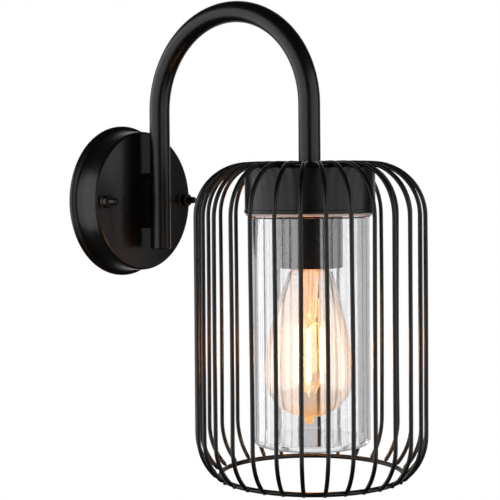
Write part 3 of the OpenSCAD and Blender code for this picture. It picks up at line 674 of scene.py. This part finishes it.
def build_thumb_nuts():
    """Thumb nuts: a collar with rounded rims and a domed tip, turned about their studs. Each
    stands on its washer on the canopy's front."""
    washer, stud_reach = 0.8 * MM, 46 * MM
    bore, collar, shank, tip = 2.05, 5.0, 2.6, 13.0
    outline = [(bore, 0.0), (collar - 0.6, 0.0), (collar, 0.6), (collar, 5.0),
               (collar - 0.6, 5.5), (shank + 0.3, 5.5), (shank + 0.1, 10.0), (shank, tip),
               (0.0, tip), (0.0, 9.0), (bore, 8.0)]
    radii = [0, 0.3, 0.3, 0.3, 0.3, 0.3, 0, 2.1, 0, 0, 0]
    shape = rounded(outline, radii) + [0, CANOPY_DEPTH + washer]
    for side, word in ((-1, "left"), (1, "right")):
        make("thumb_nut_%s_turned" % word, "nut_" + word, "powder_coat",
             [turned(shape, 48, True, False, (side * stud_reach, 0.0))], ["thumb_nut_" + word])


def build_arm():
    """Arm tube: a ring section carried up the wall leg, over the arch and down the lamp leg.

    The outer face runs along the path and the inner one back along it, and at each end a rim
    joins their last rings from the nearest point on, both the same way round.
    """
    sides = 48
    radius = width("arm_end_plug") / 2
    bend = (ARM_Y - LAMP_Y) / 2
    spring = ARCH_TOP - radius - bend
    flat = np.vstack([[(ARM_Y, ARM_BOTTOM), (ARM_Y, spring)],
                      arc(((ARM_Y + LAMP_Y) / 2, spring), bend, 0, 180, 91),
                      [(LAMP_Y, HUB_TOP)]])
    flat = even(flat, 3 * MM)
    path = np.column_stack([np.zeros(len(flat)), flat])
    outer = swept(path, (1.0, 0.0, 0.0), radius, sides)
    inner = swept(path[::-1], (1.0, 0.0, 0.0), radius - sizes().tube_wall, sides)
    points, faces = joined([outer, inner])
    count, ring = len(outer[0]), np.arange(sides)
    rims = []
    for first, second in ((0, 2 * count - sides), (count - sides, count)):
        facing = points[second:second + sides]
        nearest = int(np.argmin(np.linalg.norm(facing - points[first], axis=1)))
        way = int(np.sign(np.dot(facing[(nearest + 1) % sides] - facing[nearest],
                                 points[first + 1] - points[first])))
        pair = np.stack([first + ring, second + (nearest + way * ring) % sides]).reshape(-1)
        rims.append(pair[grid_faces(2, sides)])
    make("arm_tube_bent", "fixture", "powder_coat", [(points, np.vstack([faces] + rims))],
         ["arm_tube"])


def bar_path():
    """A bar's centre line in its own plane, as distance from the lamp's axis and height.

    It runs straight out from inside the hub's edge, over the shoulder's quarter circle, straight
    down, and in along the lower bend's arc to the ring. No bar stands exactly sideways, so the
    solids' box is a little narrower than the circle of bars, and the distance is held to it.
    """
    bar = sizes().bar_diameter / 2
    axis = max(width("cage_bars") / 2 - bar, 83.1 * MM)
    flat, bend, swing = 45.1 * MM, 40 * MM, 51.0
    shoulder, top = axis - flat, HUB_TOP - bar
    end = (RING_LOW + RING_HIGH) / 2 - 0.5 * MM
    low = end + bend * np.sin(np.radians(swing))
    return np.vstack([[(width("cage_hub") / 2 - 1.2 * MM, top), (flat, top)],
                      arc((flat, top - shoulder), shoulder, 90, 0, 40), [(axis, low)],
                      arc((axis - bend, low), bend, 0, -swing, 24)])


def bar_angles():
    """Angles of the bars about the lamp's axis: even steps, half a step on, and their turn."""
    s = sizes()
    return s.bar_turn + np.radians((np.arange(s.bar_count) + 0.5) / s.bar_count * 360)


def build_cage_bars():
    """Cage bars: a round section carried along the bar's path, a little out of line.

    With t from 0 to 1 along a bar, it stands aside by waver * (a * sin(pi t) +
    b / 2 * sin(2 pi t)) and out by waver * c / 2 * sin(pi t) squared, where a, b and c are
    drawn for each bar. The radius follows a quarter circle over the path's first and last step.
    """
    s = sizes()
    flat = even(bar_path(), 3.5 * MM)
    t = np.linspace(0, 1, len(flat))
    near_end = np.minimum(np.minimum(t, 1 - t) * len(flat), 1)
    radius = s.bar_diameter / 2 * np.sqrt(1 - (1 - near_end) ** 2)
    bulge = np.sin(np.pi * t)
    draw = np.random.default_rng(11)
    bars = []
    for angle in bar_angles():
        sway = draw.normal(0, 1, 3)
        aside = s.bar_waver * (sway[0] * bulge + 0.5 * sway[1] * np.sin(2 * np.pi * t))
        out = 0.5 * s.bar_waver * sway[2] * bulge ** 2
        path = np.column_stack([flat[:, 0] + out, aside, flat[:, 1]])
        points, faces = swept(path, (0.0, 1.0, 0.0), radius, 14)
        bars.append(spun((points + [0.0, LAMP_Y, 0.0], faces), np.array([angle]), LAMP_AXIS))
    make("cage_bars_bent", "fixture", "powder_coat", bars, ["cage_bars"], 60.0)


def build_cage_hub():
    """Cage hub: a disc with rounded rims, turned about the lamp's axis."""
    bore, rim = 5.0, width("cage_hub") / 2 / MM
    low, high = HUB_BOTTOM / MM, HUB_TOP / MM
    disc = rounded([(bore, low), (rim, low), (rim, high), (bore, high)], [0, 0.6, 0.6, 0])
    make("cage_hub_disc", "fixture", "powder_coat", [turned(disc, 120, True, centre=LAMP_AXIS)],
         ["cage_hub"])


def build_cage_ring():
    """Cage's bottom ring, and a small weld at each bar.

    The ring's section is a circle of 20 points, 18 degrees apart, turned about the lamp's axis. A
    weld is a rounded outline turned about its own upright axis, and spun to every bar.
    """
    wire = sizes().ring_wire / 2
    middle = width("cage_ring") / 2 - wire
    section = arc((middle, (RING_LOW + RING_HIGH) / 2), wire, 0, 342, 20)
    make("cage_ring_wire", "fixture", "powder_coat",
         [turned(section, 180, True, centre=LAMP_AXIS)], ["cage_ring"])

    end = bar_path()[-1]
    points, faces = turned(rounded([(0.0, -1.1), (1.5, -0.9), (1.7, 0.3), (0.0, 1.2)],
                                   [0, 0.7, 0.9, 0], 4), 10)
    spot = np.array([(end[0] + middle + wire) / 2 - 0.4 * MM, LAMP_Y, end[1] - 0.2 * MM])
    make("ring_welds", "fixture", "powder_coat",
         [spun((points + spot, faces), bar_angles(), LAMP_AXIS)])


def build_shade_cap():
    """Shade cap: pressed sheet turned about the lamp's axis, with a rolled bead and a thread."""
    low, high = CAP_BOTTOM / MM, CAP_TOP / MM
    hole, inside, outside, bead, sheet = 5.0, 46.0, 47.2, 47.6, 1.5
    outline = [(hole, high), (outside, high), (outside, low + 2.6), (bead, low + 2.3),
               (bead, low), (inside, low), (inside, high - sheet), (hole, high - sheet)]
    profile = rounded(outline, [0, 3.2, 0.3, 0.4, 0.5, 0.3, 1.7, 0], 9)
    inside *= MM
    wall = np.column_stack([np.full(70, inside), np.linspace(low + 0.3, low + 12.5, 70) * MM])
    above = (profile[:, 0] < inside + 0.01 * MM) & (profile[:, 1] > (low + 13) * MM)
    cut = np.flatnonzero(above)[0]
    profile = np.vstack([profile[:cut], wall, profile[cut:]])
    ridge = thread(-0.8 * MM, sizes().glass_pitch, (low + 1.4) * MM, (low + 11.5) * MM, 0.3, 0.5)
    make("shade_cap_spun", "fixture", "powder_coat",
         [turned(profile, 144, True, centre=LAMP_AXIS, relief=only_at(inside, ridge))],
         ["shade_cap"])


def build_seal():
    """Soft seal: a rounded strip turned about the lamp's axis."""
    low, high, inside, outside = SEAL_BOTTOM / MM, SEAL_TOP / MM, 43.05, 46.6
    strip = rounded([(inside, low), (outside, low), (outside, high), (inside, high)],
                    [0.3, 0.7, 0.5, 0.2])
    make("seal_strip", "glass_seal", "seal", [turned(strip, 144, True, centre=LAMP_AXIS)],
         ["glass_gasket"])


def build_glass():
    """Glass: one wall turned about the lamp's axis, with a rounded closed bottom, a shoulder
    under the seal and a threaded neck above it."""
    s = sizes()
    low, high, seat = GLASS_BOTTOM / MM, GLASS_TOP / MM, SEAL_BOTTOM / MM
    outside, shoulder = 43.0, 44.1
    inside, floor = outside - s.glass_wall / MM, low + s.glass_floor / MM
    outline = [(0.0, floor), (inside, floor), (inside, high), (outside, high), (outside, seat),
               (shoulder, seat), (shoulder, seat - 1.0), (outside, seat - 1.7), (outside, low),
               (0.0, low)]
    profile = rounded(outline, [0, 1.6, 0.9, 0.9, 0.0, 0.3, 0.4, 0.5, 3.5, 0], 8)
    outside *= MM
    neck = np.column_stack([np.full(44, outside), np.linspace(high - 1.2, seat + 0.2, 44) * MM])
    below = (profile[:, 0] > outside - 0.01 * MM) & (profile[:, 1] < (seat + 0.1) * MM)
    cut = np.flatnonzero(below)[0]
    profile = np.vstack([profile[:cut], neck, profile[cut:]])
    ridge = thread(1.9 * MM, s.glass_pitch, (seat + 3.2) * MM, (high - 1.4) * MM, 0.3, 0.0)
    relief = only_at(outside, ridge, SEAL_BOTTOM)
    make("glass_cylinder", "glass", "clear_glass",
         [turned(profile, 540, centre=LAMP_AXIS, relief=relief)], ["glass_shade"], 50.0)


def build_holder():
    """Sleeve and screw shell of the lampholder, turned about the lamp's axis. The whole shell
    follows the thread."""
    low, high = SLEEVE_BOTTOM / MM, SLEEVE_TOP / MM
    hole, inside, outside, sheet = 5.0, 22.7, 23.7, 1.2
    tube = rounded([(hole, high), (outside, high), (outside, low), (inside, low),
                    (inside, high - sheet), (hole, high - sheet)], [0, 1.6, 0.45, 0.45, 0.6, 0])
    make("holder_sleeve_rolled", "fixture", "powder_coat",
         [turned(tube, 120, True, centre=LAMP_AXIS)], ["holder_sleeve"])
    low, high = SHELL_BOTTOM, SHELL_TOP
    rise = np.linspace(low, high, 120)
    inner, outer = np.full(120, 13.4 * MM), np.full(120, 13.85 * MM)
    shell = np.column_stack([np.append(inner, outer), np.append(rise, rise[::-1])])
    ridge = thread(-0.55 * MM, sizes().bulb_pitch, low + 0.5 * MM, high - 0.5 * MM)
    make("holder_shell_rolled", "fixture", "brass",
         [turned(shell, 72, True, centre=LAMP_AXIS, relief=ridge)], ["holder_shell"])


def bulb_outline(inset):
    """The bulb's outline from its neck to its tip, in millimetres, drawn in by inset.

    Below the neck's steps the height falls evenly to the widest point, while the distance from
    the axis grows with the sine of a quarter turn. From there an ellipse runs down to the nib.
    """
    neck, belly, nib = 16.0, 32.0, 4.0
    bottom, dome = SCREW_BOTTOM / MM, BULB_TIP / MM + NIB
    top, wide = bottom - 3, dome + belly * 0.9
    t = np.linspace(0, 1, 40)
    throat = np.array([(11.8, bottom + 10), (11.8, bottom + 0.4), (12.7, bottom - 0.8),
                       (14.4, bottom - 2.0)])
    side = np.column_stack([neck + (belly - neck) * np.sin(np.pi / 2 * t), top + (wide - top) * t])
    a = np.arccos(nib / belly) * t[1:]
    cap = np.column_stack([belly * np.cos(a), wide - (wide - dome) * np.sin(a)])
    return np.vstack([throat, side, cap]) - [inset, 0]


def off_axis(part):
    """Shifts the bulb's lower part a little sideways, as it hangs in its lampholder.

    The shift eases in over 50 mm below the screw cap: with t from 0 to 1 down the neck it is
    t * t * (3 - 2 * t) times the whole.
    """
    points, faces = part
    t = np.clip((SCREW_BOTTOM - points[:, 2]) / (50 * MM), 0, 1)[:, None]
    sideways = sizes().bulb_shift * np.array([-0.617, 0.787, 0.0])
    return points + t * t * (3 - 2 * t) * sideways, faces


def build_envelope():
    """Bulb's glass: its outline, down to the nib at its tip and back up drawn in by the wall,
    turned about the lamp's axis."""
    tip, wall = BULB_TIP / MM, sizes().bulb_wall / MM
    floor = tip + NIB + wall
    nib = [(3.3, tip + 4.2), (3.1, tip + 2.4), (2.4, tip + 0.8), (1.2, tip + 0.1), (0.0, tip)]
    inner = bulb_outline(wall)
    inner = np.vstack([inner[inner[:, 1] > floor], [(0.0, floor)]])
    profile = np.vstack([bulb_outline(0.0), nib, inner[::-1]]) * MM
    make("bulb_envelope", "bulb", "amber_glass",
         [off_axis(turned(profile, 300, True, centre=LAMP_AXIS))], ["bulb_glass"], 60.0)


def build_screw_cap():
    """Bulb's screw cap: a sheet turned about the lamp's axis, with a rolled thread."""
    low, high, skirt = SCREW_BOTTOM / MM, SCREW_TOP / MM, 12.95
    rise = np.linspace(low + 1.2, high - 1.6, 130)
    outer = [(12.2, low), (13.0, low + 0.25), *zip(np.full(130, skirt), rise),
             (12.2, high - 0.7), (11.0, high)]
    inner = [(10.6, high - 0.5), (11.9, high - 1.4), (11.9, low + 0.3)]
    ridge = thread(0.5 * MM, sizes().bulb_pitch, (low + 2.0) * MM, (high - 1.8) * MM)
    make("screw_cap_rolled", "bulb", "nickel",
         [turned(np.array(outer + inner) * MM, 80, True, centre=LAMP_AXIS,
                 relief=only_at(skirt * MM, ridge))], ["bulb_screw_cap"])


def build_stem():
    """Bulb's stem: a flared foot that narrows to a column, turned about the lamp's axis."""
    top, end, flare, column = STEM_TOP / MM, STEM_BOTTOM / MM, width("bulb_stem") / 2 / MM, 5.6
    outline = rounded([(0.0, top), (flare, top), (flare, top - 1.5), (7.2, top - 9.0),
                       (6.4, top - 14.0), (column, top - 24.0), (column, end), (0.0, end)],
                      [0, 0.5, 3.0, 6.0, 14.0, 20.0, 3.4, 0])
    make("stem_drawn", "bulb", "stem_glass",
         [off_axis(turned(outline, 60, centre=LAMP_AXIS))], ["bulb_stem"])


def build_filaments():
    """Filament rods with round ends, hung on thin wires that run out from a centre post.

    The rods stand on the solids' circle, turned a little back. With t from 0 to 1 outwards, a
    wire's height is start + (tip - start) * t squared + bow * sin(pi t), and its radius falls to
    nothing over the first and last step.
    """
    radius, solid_radius, turn_back = sizes().filament_diameter / 2, 0.9 * MM, 3.0
    low, high = FILAMENT_LOW, FILAMENT_HIGH
    reach = width("bulb_filaments") / 2 - solid_radius
    circle = reach / np.cos(np.radians(FIRST_FILAMENT))
    angles = np.radians(FIRST_FILAMENT - turn_back + np.arange(4) * 90.0)
    half = arc((0.0, 0.0), radius, 0, 90, 7)
    points, faces = turned(np.vstack([half[::-1] + [0.0, high - radius],
                                      half * [1, -1] + [0.0, low + radius]]), 20)
    hung = (points + [circle, LAMP_Y, 0.0], faces)
    make("filament_rods", "bulb", "filament", [off_axis(spun(hung, angles, LAMP_AXIS))],
         ["bulb_filaments"], 80.0)

    wire, post_radius, post_top, steps = 0.35 * MM, 0.6 * MM, STEM_BOTTOM + 1 * MM, 25
    t = np.linspace(0, 1, steps)
    taper = wire * np.minimum(1, np.minimum(t, 1 - t) * (steps - 1))
    across = 0.5 * MM + (circle - 0.5 * MM) * t
    wires = []
    for start, tip, bow in ((STEM_BOTTOM - 2.2 * MM, high + 0.4 * MM, 1.4 * MM),
                            (low, low - 0.4 * MM, -0.8 * MM)):
        rise = start + (tip - start) * t ** 2 + bow * np.sin(np.pi * t)
        path = np.column_stack([across, np.full(steps, LAMP_Y), rise])
        wires.append(off_axis(spun(swept(path, (0.0, 1.0, 0.0), taper, 8), angles, LAMP_AXIS)))
    post = turned(np.array([(0.0, low - wire), (post_radius, low - wire),
                            (post_radius, post_top), (0.0, post_top)]), 12, centre=LAMP_AXIS)
    make("support_wires", "bulb", "support_wire", wires + [off_axis(post)], ["bulb_supports"])


# ---------- Studio ----------

# The camera's place in metres, the way it looks, and its upward direction.
CAMERA_EYE = (-0.7892, -0.7498, 0.0104)
CAMERA_AHEAD = (0.78692, 0.61666, -0.02210)
CAMERA_UP = (0.02247, 0.00715, 0.99972)


def build_camera(context):
    """Camera in the studio. Returns the level directions towards it, and to its right."""
    data = bpy.data.cameras.new("Studio camera")
    data.sensor_width = 36.0
    data.lens = context.scene.wall_light_studio.lens
    data.shift_y = -0.067
    data.clip_start, data.clip_end = 0.01, 50.0
    camera = bpy.data.objects.new("Studio camera", data)
    context.scene.collection.objects.link(camera)
    ahead = Vector(CAMERA_AHEAD).normalized()
    right = ahead.cross(Vector(CAMERA_UP)).normalized()
    axes = Matrix((right, right.cross(ahead), -ahead)).transposed().to_4x4()
    camera.matrix_world = Matrix.Translation(Vector(CAMERA_EYE)) @ axes
    context.scene.camera = camera
    return (-Vector((ahead.x, ahead.y, 0.0)).normalized(),
            Vector((right.x, right.y, 0.0)).normalized())


def soft_panel(name, middle, aim, size, power, mirrored):
    """A rectangular soft lamp at middle that faces aim, with so much power to the square metre.

    It is either the bright panel that shiny surfaces mirror, which doesn't show straight through
    glass, or the weaker light that falls on everything.
    """
    data = bpy.data.lights.new(name, "AREA")
    data.shape = "RECTANGLE"
    data.size, data.size_y = size
    data.energy = power * size[0] * size[1]
    lamp = bpy.data.objects.new(name, data)
    bpy.context.scene.collection.objects.link(lamp)
    lamp.location = middle
    lamp.rotation_euler = (aim - middle).to_track_quat("-Z", "Y").to_euler()
    lamp.visible_camera = False
    lamp.visible_glossy = lamp.visible_transmission = mirrored
    lamp.visible_diffuse = not mirrored
    if mirrored:
        data.use_nodes = True
        tree = data.node_tree
        path = tree.nodes.new("ShaderNodeLightPath").outputs
        unmirrored = math(tree, "LESS_THAN", path["Glossy Depth"], 0.5)
        through = math(tree, "MULTIPLY", unmirrored, path["Is Transmission Ray"])
        tree.links.new(math(tree, "SUBTRACT", 1.0, through),
                       tree.nodes["Emission"].inputs["Strength"])


def build_panels(context, towards, aside):
    """Soft panels to the left and right of the camera, facing the middle of the light.

    Each spans an arc as seen from there, between two angles in degrees from the camera's side
    round to its right, and stands flat at one reach: its width is twice the reach times the
    tangent of half that arc.
    """
    studio = context.scene.wall_light_studio
    middle, reach, height = Vector((0.0, -0.12, 0.0)), 1.2, 1.5
    for side, start, end, share in (("Left", -20.0, -126.0, 1.0), ("Right", 18.0, 99.0, 0.85)):
        turn, half = np.radians((start + end) / 2), np.radians(abs(end - start) / 2)
        stand = middle + (towards * np.cos(turn) + aside * np.sin(turn)) * reach
        size = (2 * reach * float(np.tan(half)), height)
        power = studio.panel_power * share
        soft_panel(side + " soft panel", stand, middle, size, power, True)
        soft_panel(side + " fill", stand, middle, size, power * studio.fill_share, False)


def build_glow(context):
    """The bulb's own light: a small warm lamp among the filaments, for shiny surfaces alone."""
    glow = bpy.data.lights.new("Bulb glow", "POINT")
    glow.energy = context.scene.wall_light_studio.glow_power
    glow.color = (1.0, 0.38, 0.08)
    glow.shadow_soft_size = 8 * MM
    lamp = bpy.data.objects.new("Bulb glow", glow)
    context.scene.collection.objects.link(lamp)
    lamp.location = (0.0, LAMP_Y, (FILAMENT_LOW + FILAMENT_HIGH) / 2)
    lamp.visible_camera = lamp.visible_diffuse = lamp.visible_transmission = False


def build_world(context, behind):
    """White background, and what shiny and matt surfaces get from it.

    Seen straight on, or through glass, the world is white. Mirrored once, it is a dark room with
    a white backdrop behind the object. Mirrored again, as in a wall of glass, it is at least
    pale, and so it is for light that has come through few walls of glass, on all sides but the
    camera's. Matt surfaces get a plain low level. Behind is the level direction from the camera
    to the object and on.
    """
    world = bpy.data.worlds.new("Studio white")
    context.scene.world = world
    world.use_nodes = True
    tree = world.node_tree
    tree.nodes.clear()
    out = tree.nodes.new("ShaderNodeOutputWorld")
    path = tree.nodes.new("ShaderNodeLightPath").outputs
    back = tree.nodes.new("ShaderNodeBackground")
    back.inputs["Color"].default_value = (1.0, 1.0, 1.0, 1.0)
    way = tree.nodes.new("ShaderNodeTexCoord")
    product = tree.nodes.new("ShaderNodeVectorMath")
    product.operation = "DOT_PRODUCT"
    tree.links.new(way.outputs["Generated"], product.inputs[0])
    product.inputs[1].default_value = tuple(behind)
    backward = product.outputs["Value"]

    def both(first, second):
        return math(tree, "MULTIPLY", first, second)

    def either(first, second):
        return math(tree, "MAXIMUM", first, second)

    unmirrored = math(tree, "LESS_THAN", path["Glossy Depth"], 0.5)
    twice = math(tree, "GREATER_THAN", path["Glossy Depth"], 1.5)
    backdrop = ranged(tree, backward, 0.05, 1.0, 0.75, 0.92)
    white = either(either(unmirrored, backdrop), both(twice, 0.7))
    few_walls = both(math(tree, "LESS_THAN", path["Transmission Depth"], 3.5),
                     path["Is Transmission Ray"])
    off_camera = ranged(tree, backward, 0.0, 0.8, -0.6, -0.3)
    white = either(white, both(few_walls, off_camera))
    seen = either(either(path["Is Camera Ray"], path["Is Transmission Ray"]),
                  path["Is Glossy Ray"])
    seen = both(seen, math(tree, "LESS_THAN", path["Diffuse Depth"], 0.5))
    matt = both(math(tree, "SUBTRACT", 1.0, seen), 0.35)
    tree.links.new(math(tree, "ADD", matt, both(seen, white)), back.inputs["Strength"])
    tree.links.new(back.outputs[0], out.inputs["Surface"])


def build_floor(context):
    """Pale floor, so far below the light that it lies outside the camera's view."""
    half, height = 3.0, -1.8
    mesh = bpy.data.meshes.new("pale_floor")
    mesh.from_pydata([(-half, -half, height), (half, -half, height), (half, half, height),
                      (-half, half, height)], [], [(0, 1, 2, 3)])
    floor = bpy.data.objects.new("pale_floor", mesh)
    context.scene.collection.objects.link(floor)
    mesh.materials.append(floor_finish())
    floor.visible_glossy = floor.visible_transmission = False


def floor_finish():
    """Pale floor that keeps a soft shadow, lifted to white where a camera sees it."""
    material, tree, shader = blank("Pale floor")
    set_sockets(shader, Base_Color=(0.86, 0.86, 0.86), Roughness=0.9, Specular_IOR_Level=0.1)
    lift = tree.nodes.new("ShaderNodeEmission")
    path = tree.nodes.new("ShaderNodeLightPath")
    tree.links.new(math(tree, "MULTIPLY", path.outputs["Is Camera Ray"], 0.7),
                   lift.inputs["Strength"])
    both = tree.nodes.new("ShaderNodeAddShader")
    tree.links.new(shader.outputs[0], both.inputs[0])
    tree.links.new(lift.outputs[0], both.inputs[1])
    tree.links.new(both.outputs[0], tree.nodes["Material Output"].inputs["Surface"])
    return material


# ---------- Operators and panel ----------

class SolidsOperator(bpy.types.Operator):
    """Give every solid that stays visible its finish"""
    bl_idname = "wall_light.solids"
    bl_label = "Finishes of the solids"

    def execute(self, context):
        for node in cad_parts.values():
            slots = node.data.materials
            for i, plain in enumerate(slots):
                slot = plain.name.split(".")[0]
                slots[i] = finish(slot)
        return {"FINISHED"}


class CanopyOperator(bpy.types.Operator):
    """Build the canopy and its thumb nuts"""
    bl_idname = "wall_light.canopy"
    bl_label = "Canopy and nuts"

    def execute(self, context):
        build_canopy()
        build_thumb_nuts()
        return {"FINISHED"}


class ArmOperator(bpy.types.Operator):
    """Build the bent arm tube"""
    bl_idname = "wall_light.arm"
    bl_label = "Arm"

    def execute(self, context):
        build_arm()
        return {"FINISHED"}


class CageOperator(bpy.types.Operator):
    """Build the cage's bars, hub, ring and welds"""
    bl_idname = "wall_light.cage"
    bl_label = "Cage"

    def execute(self, context):
        build_cage_bars()
        build_cage_hub()
        build_cage_ring()
        return {"FINISHED"}


class CapOperator(bpy.types.Operator):
    """Build the shade cap and its seal"""
    bl_idname = "wall_light.cap"
    bl_label = "Cap and seal"

    def execute(self, context):
        build_shade_cap()
        build_seal()
        return {"FINISHED"}


class GlassOperator(bpy.types.Operator):
    """Build the glass cylinder"""
    bl_idname = "wall_light.glass"
    bl_label = "Glass"

    def execute(self, context):
        build_glass()
        return {"FINISHED"}


class HolderOperator(bpy.types.Operator):
    """Build the lampholder's sleeve and shell"""
    bl_idname = "wall_light.holder"
    bl_label = "Lampholder"

    def execute(self, context):
        build_holder()
        return {"FINISHED"}


class BulbOperator(bpy.types.Operator):
    """Build the bulb's glass, screw cap, stem, wires and filaments"""
    bl_idname = "wall_light.bulb"
    bl_label = "Bulb"

    def execute(self, context):
        build_envelope()
        build_screw_cap()
        build_stem()
        build_filaments()
        return {"FINISHED"}


class StudioOperator(bpy.types.Operator):
    """Set up the camera, the soft panels, the white background and the pale floor"""
    bl_idname = "wall_light.studio"
    bl_label = "Studio"

    def execute(self, context):
        towards, aside = build_camera(context)
        build_panels(context, towards, aside)
        build_glow(context)
        build_world(context, -towards)
        build_floor(context)
        context.scene.view_settings.view_transform = "Standard"
        return {"FINISHED"}


# The order in which the pieces are made.
PIECES = ("solids", "canopy", "arm", "cage", "cap", "glass", "holder", "bulb", "studio")


class WallLightPanel(bpy.types.Panel):
    """Lists the pieces of the wall light, and their settings"""
    bl_idname = "VIEW3D_PT_wall_light"
    bl_label = "Cage Wall Light"
    bl_space_type = "VIEW_3D"
    bl_region_type = "UI"
    bl_category = "Wall Light"

    def draw(self, context):
        layout, scene = self.layout, context.scene
        for word in PIECES:
            layout.operator("wall_light." + word)
        for settings in (scene.wall_light_sizes, scene.wall_light_colours,
                         scene.wall_light_studio):
            box = layout.box()
            for key in settings.__annotations__:
                box.prop(settings, key)


CLASSES = (WallLightSizes, WallLightColours, WallLightStudio, SolidsOperator, CanopyOperator,
           ArmOperator, CageOperator, CapOperator, GlassOperator, HolderOperator, BulbOperator,
           StudioOperator, WallLightPanel)


def register():
    """Registers the classes and their settings."""
    for item in CLASSES:
        bpy.utils.register_class(item)
    bpy.types.Scene.wall_light_sizes = PointerProperty(type=WallLightSizes)
    bpy.types.Scene.wall_light_colours = PointerProperty(type=WallLightColours)
    bpy.types.Scene.wall_light_studio = PointerProperty(type=WallLightStudio)


def unregister():
    """Removes the settings and the classes."""
    for word in ("sizes", "colours", "studio"):
        delattr(bpy.types.Scene, "wall_light_" + word)
    for item in reversed(CLASSES):
        bpy.utils.unregister_class(item)


def main():
    """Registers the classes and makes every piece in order."""
    register()
    for word in PIECES:
        getattr(bpy.ops.wall_light, word)()


if __name__ == "__main__":
    main()
